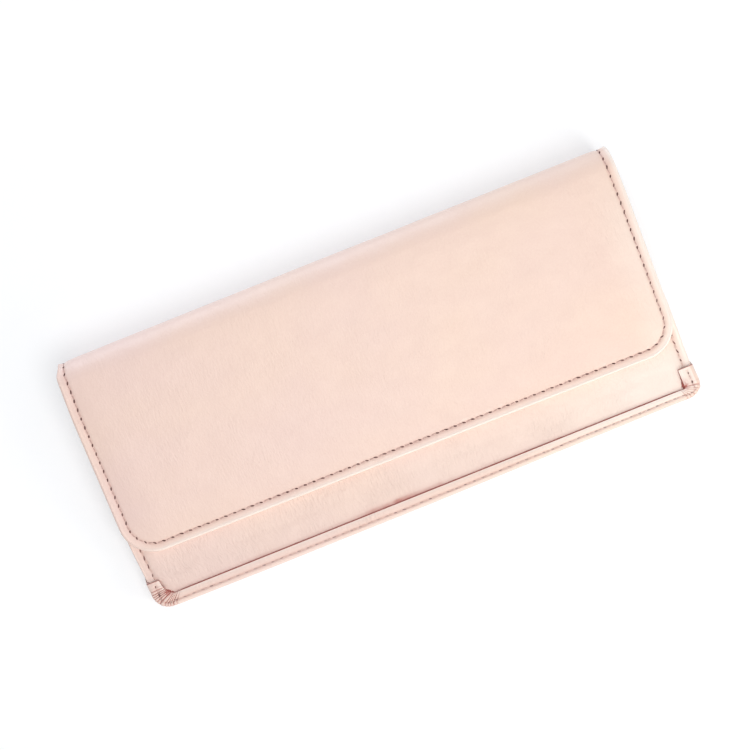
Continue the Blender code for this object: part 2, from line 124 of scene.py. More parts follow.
def smooth(value, low, high):
    """0 below low, 1 above high and a smooth rise between."""
    t = np.clip((np.asarray(value, float) - low) / (high - low), 0.0, 1.0)
    return t * t * (3 - 2 * t)


def hump(value, centre, width):
    return np.exp(-(((np.asarray(value, float) - centre) / width) ** 2))


noise_side = 128
noise_tables = {}


def ripple(x, y, size, seed):
    """Smooth noise from -1 to 1 whose lumps are about size across."""
    if seed not in noise_tables:
        noise_tables[seed] = np.random.RandomState(seed).uniform(-1, 1, (noise_side, noise_side))
    table = noise_tables[seed]
    u, v = np.asarray(x, float) / size + 31.7, np.asarray(y, float) / size + 17.3
    i, j = np.floor(u).astype(int), np.floor(v).astype(int)
    a, b = u - i, v - j
    a, b = a * a * (3 - 2 * a), b * b * (3 - 2 * b)
    i, j, k, n = i % noise_side, j % noise_side, (i + 1) % noise_side, (j + 1) % noise_side
    near = table[i, j] * (1 - a) + table[k, j] * a
    far = table[i, n] * (1 - a) + table[k, n] * a
    return near * (1 - b) + far * b


class Path:
    """A line across the wallet in y and z, walked by its own length, with one side as its outside."""

    step = 0.1 * mm

    def __init__(self, y, z, heading, outside):
        self.rows = [(0.0, y, z, heading)]
        self.outside = outside

    def bend(self, radius, turn):
        return self.walk(radius * abs(turn), turn)

    def walk(self, length, turn=0.0):
        s, y, z, heading = self.rows[-1]
        count = max(2, int(length / self.step))
        for i in range(count):
            middle = heading + turn * (i + 0.5) / count
            y += math.cos(middle) * length / count
            z += math.sin(middle) * length / count
            self.rows.append((s + length * (i + 1) / count, y, z, heading + turn * (i + 1) / count))
        return self

    @property
    def length(self):
        return self.rows[-1][0]

    def at(self, x, s, h):
        """Points in the frame for flat places x and s, raised by h to the outside."""
        rows = np.array(self.rows)
        heading = np.interp(s, rows[:, 0], rows[:, 3]) + self.outside * math.pi / 2
        y = np.interp(s, rows[:, 0], rows[:, 1]) + h * np.cos(heading)
        z = np.interp(s, rows[:, 0], rows[:, 2]) + h * np.sin(heading)
        over = np.asarray(s, float) - self.length
        last = self.rows[-1][3]
        y = y + np.where(over > 0, over * math.cos(last), 0.0)
        z = z + np.where(over > 0, over * math.sin(last), 0.0)
        return np.stack(np.broadcast_arrays(x, y, z), axis=-1)


flap_edge_v = slope_v(lip_y + flap_edge_from_lip, flap_rise)
fold_z = closed_height - upper_fold_radius
flap_bend_v = (spine_y - upper_fold_radius - hinge_y) * math.cos(slope)
flap_bend_v += (fold_z - front_height) * math.sin(slope)

flap_path = Path(spine_y, split_z, math.pi / 2, -1).walk(fold_z - split_z)
flap_path.bend(upper_fold_radius, math.pi / 2 + slope).walk(flap_bend_v - flap_edge_v)
flap_flat_start = flap_path.length - (flap_bend_v - flap_edge_v)

back_path = Path(spine_y, split_z, -math.pi / 2, 1).walk(split_z - lower_fold_radius)
back_path.bend(lower_fold_radius, -math.pi / 2).walk(spine_y - lower_fold_radius - lip_y)
back_hinge_s = back_path.length - (hinge_y - lip_y)

foot_length = 10.5 * mm
front_bend_radius = 14.0 * mm
front_path = Path(hinge_y - foot_length, front_height, 0.0, 1)
bend_reach = front_bend_radius * math.tan(slope / 2)
front_path.walk(foot_length - bend_reach).bend(front_bend_radius, slope)
front_path.walk(slope_v(front_mouth_y, 0.0) - bend_reach)


# Mesh helpers


def new_object(name, points, faces, material, attributes=None, material_index=None, smooth_angle=50):
    mesh = bpy.data.meshes.new(name)
    mesh.from_pydata(np.asarray(points, float).reshape(-1, 3).tolist(), [], [list(f) for f in faces])
    for each in material if isinstance(material, (list, tuple)) else [material]:
        mesh.materials.append(each)
    if material_index is not None:
        mesh.polygons.foreach_set("material_index", np.asarray(material_index, np.int32))
    for key, values in (attributes or {}).items():
        values = np.asarray(values, np.float32)
        kind = "FLOAT_VECTOR" if values.ndim == 2 else "FLOAT"
        made = mesh.attributes.new(key, kind, "POINT")
        made.data.foreach_set("vector" if values.ndim == 2 else "value", values.ravel())
    mesh.validate()
    mesh.shade_smooth()
    mesh.set_sharp_from_angle(angle=math.radians(smooth_angle))
    made = bpy.data.objects.new(name, mesh)
    bpy.context.scene.collection.objects.link(made)
    return made


def edge_line(half, length, corner, inset, counts):
    """x and s along a sheet's left side, far end and right side, at an inset from its edge."""
    side, turn, far = counts
    radius, reach = max(corner - inset, 0.0), max(corner, inset)
    s_end = length - reach
    angle = np.linspace(0.0, math.pi / 2, turn + 1)
    x = np.concatenate([np.full(side, inset - half), reach - half - radius * np.cos(angle)])
    s = np.concatenate([np.linspace(0.0, s_end, side, endpoint=False), s_end + radius * np.sin(angle)])
    far_x = np.linspace(reach - half, half - reach, far + 1)[1:-1]
    x = np.concatenate([x, far_x, -x[::-1]])
    s = np.concatenate([s, np.full(far - 1, length - inset), s[::-1]])
    return x, s


def walked(line):
    """Length along a line of places, from its start to each of them."""
    return np.concatenate([[0.0], np.cumsum(np.linalg.norm(np.diff(line, axis=0), axis=1))])


def grid_faces(rows, columns, closed=False):
    """Faces between the rows of a grid of points, whose last row may meet its first."""
    faces = []
    for k in range(rows if closed else rows - 1):
        a, b = k * columns, (k + 1) % rows * columns
        faces += [(a + i, a + i + 1, b + i + 1, b + i) for i in range(columns - 1)]
    return faces


def tube_faces(rings, around):
    """Faces of a tube of rings with both ends closed."""
    faces = []
    for i in range(rings - 1):
        for k in range(around):
            a, b = i * around + k, i * around + (k + 1) % around
            faces.append((a, b, b + around, a + around))
    return faces + [tuple(range(around))[::-1], tuple(range((rings - 1) * around, rings * around))]


class Sheet:
    """A sheet with a near end that is open or square, laid out as rings along its edge and a fill.

    Each ring is an inset from the edge and a depth under the outer face. The rim's rings run from its
    hidden end round the edge to the outer face, and the others from there to the start of the fill.
    """

    def __init__(self, path, settle, half, corner, rim, others, step, widen=None, skew=None):
        self.path, self.settle, self.widen, self.skew = path, settle, widen, skew
        self.face_from = len(rim) - 1
        rings, length = rim + others, path.length
        side = max(4, round((length - corner) / step))
        turn = 2 * max(1, round(corner * math.pi / 4 / step)) if corner else 2
        far = max(4, round(2 * (half - corner) / step))
        self.counts = (side, turn, far)
        self.half, self.length, self.corner = half, length, corner
        xs, ss, ds, hs = [], [], [], []
        for inset, depth in rings:
            x, s = edge_line(half, length, corner, inset, self.counts)
            xs.append(x)
            ss.append(s)
            ds.append(np.full(len(x), inset))
            hs.append(np.full(len(x), -depth))
        count = len(xs[0])
        self.count, self.rings = count, len(rings)
        faces = grid_faces(len(rings), count)

        # The fill is stretched between the last ring and the near end.
        edge = side + turn // 2
        across = count - 2 * edge
        x, s = xs[-1], ss[-1]
        left = np.stack([x[: edge + 1], s[: edge + 1]], -1)
        right = np.stack([x[::-1][: edge + 1], s[::-1][: edge + 1]], -1)
        bottom = np.stack([x[edge : edge + across], s[edge : edge + across]], -1)
        t = walked(bottom)
        u = (t / t[-1])[None, :, None]
        top_x = left[0, 0] + (right[0, 0] - left[0, 0]) * u[0, :, 0]
        top = np.stack([top_x, np.full(across, left[0, 1])], -1)
        t = walked(left)
        v = (t / t[-1])[:, None, None]
        grid = (1 - v) * top[None] + v * bottom[None] + (1 - u) * left[:, None] + u * right[:, None]
        grid -= (1 - u) * (1 - v) * left[0] + u * (1 - v) * right[0]
        grid -= (1 - u) * v * left[-1] + u * v * right[-1]
        base = (len(rings) - 1) * count
        index = np.full((edge + 1, across), -1)
        index[:, 0] = base + np.arange(edge + 1)
        index[:, -1] = base + count - 1 - np.arange(edge + 1)
        index[-1, :] = base + edge + np.arange(across)
        free = index < 0
        index[free] = len(rings) * count + np.arange(free.sum())
        for a in range(edge):
            for b in range(across - 1):
                faces.append((index[a, b], index[a + 1, b], index[a + 1, b + 1], index[a, b + 1]))
        self.faces = faces
        self.x = np.concatenate(xs + [grid[..., 0][free]])
        self.s = np.concatenate(ss + [grid[..., 1][free]])
        self.h = np.concatenate(hs + [np.full(free.sum(), -rings[-1][1])])
        self.d = np.concatenate(ds + [self.inset_of(grid[..., 0][free], grid[..., 1][free])])

    def shifted(self, x, s):
        """Flat places after the sheet's own widening and skew."""
        if self.widen:
            x = x * self.widen(s)
        if self.skew:
            s = s + self.skew(x, s)
        return x, s

    def inset_of(self, x, s):
        """Distance from the edge."""
        side, end = self.half - np.abs(x), self.length - s
        inset = np.minimum(side, end)
        in_corner = (side < self.corner) & (end < self.corner)
        out = np.hypot(self.corner - side, self.corner - end)
        return np.where(in_corner, self.corner - out, inset)

    def seam_place(self):
        """Length along the edge of every point, for puckers between stitches."""
        x, s, half, length = self.x, self.s, self.half, self.length
        left = np.where(x < 0, s, 2 * length + 2 * half - s)
        return np.where(length - s < half - np.abs(x), length + x + half, left)


body_drift = 1.2 * mm
edge_lean_x = [-100 * mm, -60 * mm, 0.0, 60 * mm, 100 * mm]
edge_lean = [0.0, -0.28 * mm, -0.22 * mm, 0.25 * mm, 0.55 * mm]


def drifted(points):
    """The sewn body sits a little to the right of the flap, and its front edge isn't quite straight."""
    points = np.array(points, float)
    x, y = points[..., 0].copy(), points[..., 1].copy()
    share = np.clip(x / half_length / 2 + 0.5, 0.0, 1.0)
    left, right = smooth(y, -16 * mm, -44 * mm), smooth(y, 12 * mm, -14 * mm)
    points[..., 0] = x + body_drift * (left * (1 - share) + right * share)
    points[..., 1] = y + np.interp(x, edge_lean_x, edge_lean) * smooth(y, -41.3 * mm, -43.6 * mm)
    at_corner = 0.55 * mm * hump(np.hypot(x - half_length, y - lip_y), 0.0, 5.5 * mm)
    points[..., 0] += at_corner
    points[..., 1] -= at_corner
    return points


def pinched(points):
    """The fold is a little narrower than the flap, most of all at its left end."""
    points = np.array(points, float)
    x, y, z = points[..., 0].copy(), points[..., 1], points[..., 2]
    at_fold = smooth(y, 24 * mm, 41 * mm) * smooth(z, 2 * mm, 9 * mm)
    at_end = smooth(y, 40.0 * mm, 43.8 * mm) * smooth(z, 2 * mm, 9 * mm)
    at_end = at_end * np.clip((-x - 95.5 * mm) / (4.5 * mm), 0.0, 1.0)
    points[..., 0] = x * (1 - np.where(x < 0, 0.005, 0.003) * at_fold) + 1.3 * mm * at_end
    bulge = 0.42 * mm + 0.10 * mm * ripple(x, 0 * x, 26 * mm, 45)
    points[..., 1] = y + bulge * smooth(y, 38 * mm, 44 * mm) * smooth(z, 4 * mm, 12 * mm)
    return points


def outward(points, faces, index, normal):
    """Faces turned so that the face at index looks along normal."""
    a, b, c = (points[i] for i in faces[index][:3])
    if np.dot(np.cross(b - a, c - a), normal) < 0:
        return [f[::-1] for f in faces]
    return faces


# Materials


class Nodes:
    """Small helpers that build the nodes of a material, or of the world."""

    def __init__(self, name, kind=bpy.data.materials):
        self.owner = kind.new(name)
        self.owner.use_nodes = True
        self.tree = self.owner.node_tree

    def node(self, kind, inputs=None, **settings):
        made = self.tree.nodes.new(kind)
        for key, value in settings.items():
            setattr(made, key, value)
        for key, value in (inputs or {}).items():
            self.put(made.inputs[key], value)
        return made

    def put(self, socket, value):
        if isinstance(value, bpy.types.NodeSocket):
            self.tree.links.new(value, socket)
        else:
            socket.default_value = value

    def attribute(self, name, output="Fac"):
        return self.node("ShaderNodeAttribute", attribute_name=name).outputs[output]

    def maths(self, operation, a, b=0.0):
        made = self.node("ShaderNodeMath", operation=operation)
        self.put(made.inputs[0], a)
        self.put(made.inputs[1], b)
        return made.outputs[0]

    def times(self, a, b):
        return self.maths("MULTIPLY", a, b)

    def plus(self, a, b):
        return self.maths("ADD", a, b)

    def mapped(self, vector, scale, turn=0.0):
        settings = {"Vector": vector, "Scale": scale, "Rotation": (0.0, 0.0, math.radians(turn))}
        return self.node("ShaderNodeMapping", settings).outputs[0]

    def noise(self, vector, scale, detail=2.0, roughness=0.5, distortion=0.0):
        sizes = {"Scale": scale, "Detail": detail, "Roughness": roughness, "Distortion": distortion}
        return self.node("ShaderNodeTexNoise", {"Vector": vector, **sizes}).outputs["Fac"]

    def spread(self, value, low, high, to_low=0.0, to_high=1.0):
        ends = {"From Min": low, "From Max": high, "To Min": to_low, "To Max": to_high}
        return self.node("ShaderNodeMapRange", {"Value": value, **ends}).outputs[0]

    def mix(self, factor, a, b, blend="MIX"):
        """Colour a, or b where the factor is 1. The factor is kept between 0 and 1."""
        made = self.node("ShaderNodeMix", data_type="RGBA", blend_type=blend)
        self.put(made.inputs["Factor"], factor)
        self.put(made.inputs[6], (*a, 1.0) if isinstance(a, tuple) else a)
        self.put(made.inputs[7], (*b, 1.0) if isinstance(b, tuple) else b)
        return made.outputs[2]

    def bump(self, height, distance, normal=None):
        made = self.node("ShaderNodeBump", {"Height": height, "Distance": distance, "Strength": 1.0})
        if normal is not None:
            self.put(made.inputs["Normal"], normal)
        return made.outputs[0]

    def seen(self):
        """1 for the camera's rays and for mirrored and refracted ones, and 0 for the others."""
        rays = self.node("ShaderNodeLightPath").outputs
        mirrored = self.maths("MAXIMUM", rays["Is Glossy Ray"], rays["Is Transmission Ray"])
        return self.maths("MAXIMUM", rays["Is Camera Ray"], mirrored)

    def finish(self, colour, roughness, normal=None, **inputs):
        shader = self.tree.nodes["Principled BSDF"]
        self.put(shader.inputs["Base Color"], colour)
        self.put(shader.inputs["Roughness"], roughness)
        if normal is not None:
            self.put(shader.inputs["Normal"], normal)
        for key, value in inputs.items():
            self.put(shader.inputs[key.replace("_", " ")], value)
        return self.owner


def leather_material(name, main, warm, cool, crease, pale, grain=1.0, roughness=0.46):
    """Grained leather. Its points carry flat places in millimetres, a crease tint of painted shade and a
    painted_light tint.
    """
    n = Nodes(name)
    flat = n.attribute("flat", "Vector")
    broad = n.noise(n.mapped(flat, (0.02, 0.028, 1.0), 18), 1.0)
    middle = n.noise(n.mapped(flat, (0.11, 0.16, 1.0), 35), 1.0, 3.0, 0.55, 0.4)
    fine = n.noise(flat, 1.3, 3.0, 0.6)
    colour = n.mix(n.spread(broad, 0.36, 0.64), cool, warm)
    colour = n.mix(0.62, colour, main)
    # Painted light along its length: the left end is tinted a little pinker, as in shade, and the right end a
    # little warmer, as in lamplight.
    across = n.node("ShaderNodeSeparateXYZ", {"Vector": flat}).outputs[0]
    ends = n.mix(n.spread(across, -95.0, 95.0), (0.997, 0.992, 1.02), (1.0, 1.0, 0.972))
    colour = n.mix(1.0, colour, ends, "MULTIPLY")
    colour = n.mix(n.spread(middle, 0.3, 0.75, 0.0, 0.14), colour, cool)
    colour = n.mix(n.spread(fine, 0.35, 0.75, 0.0, 0.06), colour, crease)
    # Painted highlight and painted light towards pale, then painted shade towards the crease colour, from the
    # points' two tints.
    colour = n.mix(n.times(n.attribute("painted_light"), 0.95), colour, pale)
    colour = n.mix(n.attribute("crease"), colour, crease)
    # Fine wrinkles lie in patches, in two directions that cross a little.
    patches = n.spread(n.noise(n.mapped(flat, (0.055, 0.075, 1.0), 25), 1.0), 0.38, 0.66)
    first = n.noise(n.mapped(flat, (1.25, 0.34, 1.0), -20), 1.0, 2.0, 0.55, 0.7)
    second = n.noise(n.mapped(flat, (1.05, 0.42, 1.0), 28), 1.0, 2.0, 0.55, 0.5)
    lines = n.plus(n.times(first, patches), n.times(second, 0.35))
    lines = n.times(lines, n.plus(n.times(n.attribute("wrinkled"), 1.3), 1.0))
    lumps = n.noise(n.mapped(flat, (0.085, 0.115, 1.0), 10), 1.0)
    pebble = n.node("ShaderNodeTexVoronoi", {"Vector": flat, "Scale": 1.7}, feature="SMOOTH_F1")
    normal = n.bump(lumps, 0.42 * mm)
    normal = n.bump(lines, 0.15 * mm * grain, normal)
    normal = n.bump(pebble.outputs["Distance"], 0.03 * mm * grain, normal)
    rough = n.spread(middle, 0.3, 0.7, roughness - 0.04, roughness + 0.05)
    return n.finish(colour, rough, normal, Specular_IOR_Level=0.55, Sheen_Weight=0.42, Sheen_Roughness=0.35)


# In both leathers the crease colour tints painted shade as well as a fine mottle, and the pale colour tints
# painted highlight and painted light.
blush = leather_material(
    "blush_leather_looks",
    main=(0.850, 0.648, 0.558), warm=(0.868, 0.655, 0.540), cool=(0.830, 0.620, 0.568),
    crease=(0.490, 0.150, 0.120), pale=(0.975, 0.860, 0.780),
)
inner = leather_material(
    "inner_leather_looks",
    main=(0.80, 0.585, 0.51), warm=(0.82, 0.590, 0.49), cool=(0.77, 0.560, 0.51),
    crease=(0.46, 0.25, 0.21), pale=(0.92, 0.76, 0.68), roughness=0.52,
)


def edge_material():
    """A cut edge, with the shade of the gap beside it painted in: dark reddish brown, a little uneven."""
    n = Nodes("shaded_cut_edge_looks")
    flat = n.attribute("flat", "Vector")
    colour = n.mix(n.noise(flat, 0.9, 3.0), (0.33, 0.085, 0.075), (0.48, 0.17, 0.14))
    return n.finish(colour, 0.75, n.bump(n.noise(flat, 4.0), 0.05 * mm), Specular_IOR_Level=0.2)


shaded_cut_edge = edge_material()


def thread_material(name, light, dark, roughness=0.6):
    """Twisted thread. The twist runs along u, a length in millimetres, and round v, an angle."""
    n = Nodes(name)
    flat = n.node("ShaderNodeSeparateXYZ", {"Vector": n.attribute("flat", "Vector")})
    turn = n.plus(n.times(flat.outputs[0], 9.0), n.times(flat.outputs[1], 2.0))
    ply = n.maths("ABSOLUTE", n.maths("SINE", turn))
    colour = n.mix(ply, dark, light)
    return n.finish(colour, roughness, n.bump(ply, 0.06 * mm), Specular_IOR_Level=0.35)


thread = thread_material("blush_thread_looks", (0.72, 0.50, 0.45), (0.56, 0.37, 0.335))
pale_thread = thread_material("pale_thread_looks", (0.82, 0.605, 0.53), (0.74, 0.52, 0.455))


# A hole's colour is painted shade: the shade in a stitch hole, on a dark disc that lies on the leather.
def hole_shade_material(name, dark, light):
    n = Nodes(name)
    flat = n.attribute("flat", "Vector")
    colour = n.mix(n.spread(n.noise(flat, 0.35, 1.0), 0.35, 0.65), dark, light)
    return n.finish(colour, 0.9, None, Specular_IOR_Level=0.1)


hole_shade = hole_shade_material("stitch_hole_shade_looks", (0.105, 0.046, 0.044), (0.22, 0.115, 0.105))
brown_hole_shade = hole_shade_material("brown_stitch_hole_shade_looks", (0.17, 0.085, 0.075), (0.36, 0.205, 0.185))
faint_hole_shade = hole_shade_material("faint_stitch_hole_shade_looks", (0.36, 0.24, 0.225), (0.58, 0.42, 0.38))


def cloth_material(name, light, dark, threads=2.6, roughness=0.8):
    """Plain weave: two sets of threads per millimetre that cross over and under."""
    n = Nodes(name)
    flat = n.attribute("flat", "Vector")
    soft = n.node("ShaderNodeVectorMath", operation="ADD")
    n.put(soft.inputs[0], flat)
    wobble = n.noise(flat, 0.35)
    n.put(soft.inputs[1], n.node("ShaderNodeCombineXYZ", {"X": n.times(wobble, 0.35)}).outputs[0])
    parts = n.node("ShaderNodeSeparateXYZ", {"Vector": soft.outputs[0]})
    along, across = (n.maths("SINE", n.times(parts.outputs[i], math.pi * threads)) for i in (0, 1))
    weave = n.plus(n.times(n.times(along, across), 0.5), 0.5)
    fleck = n.noise(n.mapped(flat, (2.2, 0.3, 1.0)), 1.0)
    colour = n.mix(weave, dark, light)
    colour = n.mix(n.spread(fleck, 0.35, 0.7, 0.0, 0.25), colour, dark)
    return n.finish(colour, roughness, n.bump(weave, 0.07 * mm), Specular_IOR_Level=0.25, Sheen_Weight=0.15)


cloth = cloth_material("lining_cloth_looks", (0.77, 0.60, 0.53), (0.60, 0.445, 0.385))


# Sewing


def slanted(along, up, slant):
    """Directions along and across a stitch, turned on the leather by its slant."""
    side = np.cross(up, along)
    c, s = math.cos(slant), math.sin(slant)
    return along * c + side * s, side * c - along * s


class Seam:
    """Stitches of one object: twisted threads and, between them, dark discs of painted shade for the holes,
    gathered as one mesh.
    """

    def __init__(self, name, looks=(thread, hole_shade)):
        self.name, self.looks = name, looks
        self.points, self.faces, self.flat, self.kind = [], [], [], []
        self.random = np.random.RandomState(len(name) * 7 + ord(name[0]))
        self.total = 0

    def add(self, points, faces, flat, kind):
        self.points.append(points)
        self.flat.append(flat)
        self.faces += [tuple(i + self.total for i in f) for f in faces]
        self.kind += [kind] * len(faces)
        self.total += len(points)

    def stitch(self, place, along, up, length, slant):
        along, side = slanted(along, up, slant)
        stations, around, radius = 9, 8, thread_radius
        u = np.linspace(-0.5, 0.5, stations)
        rows, flat = [], []
        for t in u:
            width = radius * (1 - (abs(t) * 2) ** 6) ** 0.5 if abs(t) < 0.5 else radius * 0.15
            rise = radius * 0.55 - radius * 2.6 * (abs(t) * 2) ** 3.2
            for k in range(around):
                a = 2 * math.pi * k / around
                raised = up * (rise + width * 0.8 * math.sin(a))
                rows.append(place + along * t * length + side * width * math.cos(a) + raised)
                flat.append((t * length / mm, a, 0.0))
        self.add(np.array(rows), tube_faces(stations, around), np.array(flat), 0)

    # A dark disc a little above the leather, slanted: painted shade for a stitch hole.
    def hole_shade(self, place, along, up, length, width, slant):
        along, side = slanted(along, up, slant)
        around, lift = 12, 0.2 * mm
        rows = [place + up * lift]
        for share, drop in ((0.6, 0.15), (1.0, 1.0)):
            for k in range(around):
                a = 2 * math.pi * k / around
                offset = along * math.cos(a) * length / 2 * share + side * math.sin(a) * width / 2 * share
                rows.append(place + offset + up * (lift - drop * 0.1 * mm))
        faces = [(0, 1 + k, 1 + (k + 1) % around) for k in range(around)]
        for k in range(around):
            j = (k + 1) % around
            faces.append((1 + k, 1 + around + k, 1 + around + j, 1 + j))
        self.add(np.array(rows), faces, np.array(rows) / mm, 1)

    def run(self, places, ups, start=0.5, dark=1.0, slant=0.22, keep=None, size=(1.34, 0.5), next_hole=0.5):
        """Sews along a line of places, whose upward directions are given.

        Start and next_hole are in stitches, size is a hole's length and width in millimetres, dark
        scales the holes, and keep says at which lengths along the line there are stitches.
        """
        pitch = stitch_pitch
        places, ups = np.asarray(places, float), np.asarray(ups, float)
        t = walked(places)
        count = int(t[-1] / pitch - start)
        for i in range(count + 1):
            at = (start + i) * pitch
            if at > t[-1]:
                break
            nudge = self.random.uniform(-1, 1, 5)
            if keep is not None and not keep(at):
                continue

            def look(where):
                p = np.array([np.interp(where, t, places[:, k]) for k in range(3)])
                up = np.array([np.interp(where, t, ups[:, k]) for k in range(3)])
                return p, up / np.linalg.norm(up)

            place, up = look(at)
            ahead, behind = look(min(at + 0.4 * mm, t[-1]))[0], look(max(at - 0.4 * mm, 0.0))[0]
            along = (ahead - behind) / np.linalg.norm(ahead - behind)
            up = up - along * np.dot(up, along)
            up /= np.linalg.norm(up)
            side = np.cross(up, along)
            place = place + side * nudge[0] * 0.06 * mm
            self.stitch(place, along, up, pitch * (0.74 + 0.03 * nudge[1]), slant * 0.5 + 0.06 * nudge[2])
            if dark:
                spot, up = look(min(at + pitch * next_hole, t[-1]))
                spot = spot + side * nudge[3] * 0.05 * mm
                length, width = size[0] + 0.22 * nudge[4], size[1] + 0.06 * nudge[1]
                lean = -slant * 1.6 + 0.08 * nudge[2]
                self.hole_shade(spot, along, up, length * mm * dark, width * mm * dark, lean)

    def build(self):
        flat = np.concatenate(self.flat)
        points = np.concatenate(self.points)
        return new_object(self.name, points, self.faces, self.looks, {"flat": flat}, self.kind, 80)


# Leather sheets


def round_edge(radius):
    """Rings round the edge, from its side up to the outer face."""
    turns = [math.radians(degrees) for degrees in (0, 20, 40, 58, 74, 90)]
    return [(radius * (1 - math.cos(turn)), radius * (1 - math.sin(turn))) for turn in turns]


def rounded_rim(under):
    """Rings of a turned edge: its band underneath, its side and the round edge above."""
    low = under - 0.8 * mm
    rings = [(rim_band, under), (1.2 * mm, under), (0.6 * mm, under - 0.03 * mm)]
    rings += [(0.28 * mm, under - 0.16 * mm), (0.08 * mm, under - 0.42 * mm), (0.0, low)]
    if low > rim_radius + 0.2 * mm:
        rings.append((0.0, (low + rim_radius) / 2))
    return rings + round_edge(rim_radius)


def seam_rings(seam):
    """Rings of the outer face, close together at its seam."""
    steps = (-1.4, -1.05, -0.75, -0.5, -0.3, -0.13, 0.03, 0.2, 0.4, 0.65, 1.0, 1.45, 2.05, 2.85, 3.85, 5.25)
    return [(seam + step * mm, 0.0) for step in steps]


def seam_relief(d, t, seam, depth, beyond, pad):
    """Depth of the groove that a seam pulls in, puckered between the stitches, and the panel's rise."""
    beat = 0.5 + 0.5 * np.cos(2 * math.pi * (t / stitch_pitch))
    groove = depth * (0.72 + 0.28 * beat) * hump(d, seam, 0.62 * mm)
    tuck = 0.10 * mm * beat * hump(d, seam, 1.5 * mm) * (0.6 + 0.4 * ripple(t, d, 4.5 * mm, 3))
    sunk = pad * (1 - smooth(d, seam, seam + beyond))
    return -(groove + tuck + sunk)


def leather_tints(x, s, d, t, seam=flap_seam_inset):
    """Tints of painted shade along a seam and of painted light along an edge and towards the right end, with
    pale specks beside the seam.
    """
    beat = 0.5 + 0.5 * np.cos(2 * math.pi * (t / stitch_pitch + 0.5))
    # Painted shade in the seam's groove and just outside it, varying along the stitches.
    crease = 0.22 * hump(d, seam, 0.45 * mm) + 0.09 * hump(d, seam - 0.65 * mm, 0.9 * mm)
    crease = crease * (0.75 + 0.25 * beat) * (0.85 + 0.3 * ripple(x, s, 9 * mm, 21))
    # Pale specks beside the seam, in patches.
    specks = np.clip(ripple(x, s, 0.9 * mm, 22) - 0.15, 0, 1) * smooth(ripple(x, s, 14 * mm, 23), -0.3, 0.5)
    specks = specks * hump(np.abs(d - seam), 0.85 * mm, 0.45 * mm)
    # Painted highlight on the rounded edge, faint at the left end, and painted light towards the right end.
    painted_light = hump(d, 0.45 * mm, 0.72 * mm) * (0.12 + 0.88 * smooth(x, -98.5 * mm, -86 * mm))
    painted_light = painted_light + 0.38 * smooth(x, 84 * mm, 98 * mm) * smooth(s, 8 * mm, 45 * mm)
    return np.clip(crease, 0, 1), np.clip(painted_light + 0.8 * specks, 0, 1)


def build_sheet(name, sheet, relief, tints=leather_tints, wrinkled=0.0):
    x, s = sheet.x, sheet.s
    t = sheet.seam_place()
    outer = np.zeros(len(x), bool)
    outer[sheet.face_from * sheet.count :] = True
    h = sheet.h + np.where(outer, relief(x, s, sheet.d, t), 0.0)
    x, s = sheet.shifted(x, s)
    points = sheet.path.at(x, s, h)
    corner = sheet.faces[-1][0]
    up = sheet.path.at(x, s, h + 1.0)[corner] - points[corner]
    faces = outward(points, sheet.faces, len(sheet.faces) - 1, up)
    points = sheet.settle(points)
    crease, painted_light = tints(x, s, sheet.d, t)
    attributes = {"flat": np.stack([sheet.x, sheet.s, 0 * sheet.x], -1) / mm, "crease": crease, "painted_light": painted_light}
    attributes["wrinkled"] = 0 * x + wrinkled
    made = new_object(name, points, faces, blush, attributes)
    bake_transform(made)
    return made


def seam_line(sheet, inset, height, trim=0.0):
    """Places and upward directions along a sheet's seam."""
    counts = (max(8, int(sheet.length / mm)), 24 if sheet.corner else 2, 200)
    x, s = edge_line(sheet.half, sheet.length, sheet.corner, inset, counts)
    keep = s >= trim
    x, s = sheet.shifted(x[keep], s[keep])
    places = sheet.path.at(x, s, height)
    return sheet.settle(places), sheet.path.at(x, s, height + 1.0) - places


def flap_skew(x, s):
    """The flap hangs a little low, most of all at its right end."""
    return (0.6 * mm + 0.55 * mm * x / half_length) * smooth(s, 20 * mm, 80 * mm)


def make_flap():
    under = flap_rise - lining - sheet_gap - 0.05 * mm
    rim, others = rounded_rim(under), seam_rings(flap_seam_inset)
    sheet = Sheet(flap_path, pinched, half_length, flap_corner_radius, rim, others, 0.8 * mm, skew=flap_skew)

    def relief(x, s, d, t):
        on_flap = smooth(s, flap_flat_start - 6 * mm, flap_flat_start + 6 * mm)
        pulled = seam_relief(d, t, flap_seam_inset, groove_depth, 5 * mm, flap_pad)
        crown = (0.5 * mm * smooth(d, 3 * mm, 14 * mm) + 0.15 * mm * smooth(d, 12 * mm, 30 * mm)) * on_flap
        lumps = 0.07 * mm * ripple(x, s, 21 * mm, 5) + 0.03 * mm * ripple(x, s, 8 * mm, 6)
        return pulled + crown + lumps * smooth(d, 2 * mm, 9 * mm) * smooth(s, 0.0, 5 * mm)

    flap = build_sheet("flap_leather_sheet", sheet, relief)
    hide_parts("flap_leather", "spine_leather")
    seam = Seam("flap_stitches")
    seam.run(*seam_line(sheet, flap_seam_inset, -groove_depth - flap_pad))
    places, ups = seam_line(sheet, flap_seam_inset, -lining_depth - lining / 2 - 0.02 * mm)
    seam.run(places, -ups, dark=0.8, start=1.0)
    sewn = seam.build()
    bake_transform(sewn)


make_flap()


def body_width(s):
    """The body is a little narrower than the spine and the tabs."""
    narrow = 1 - body_half_length / half_length
    to_body = smooth(s, split_z - lower_fold_radius, split_z + 4 * mm)
    to_tab = smooth(s, back_hinge_s - 0.2 * mm, back_hinge_s + 0.2 * mm)
    return 1 - narrow * (to_body - to_tab)


def body_settled(points):
    return pinched(drifted(points))


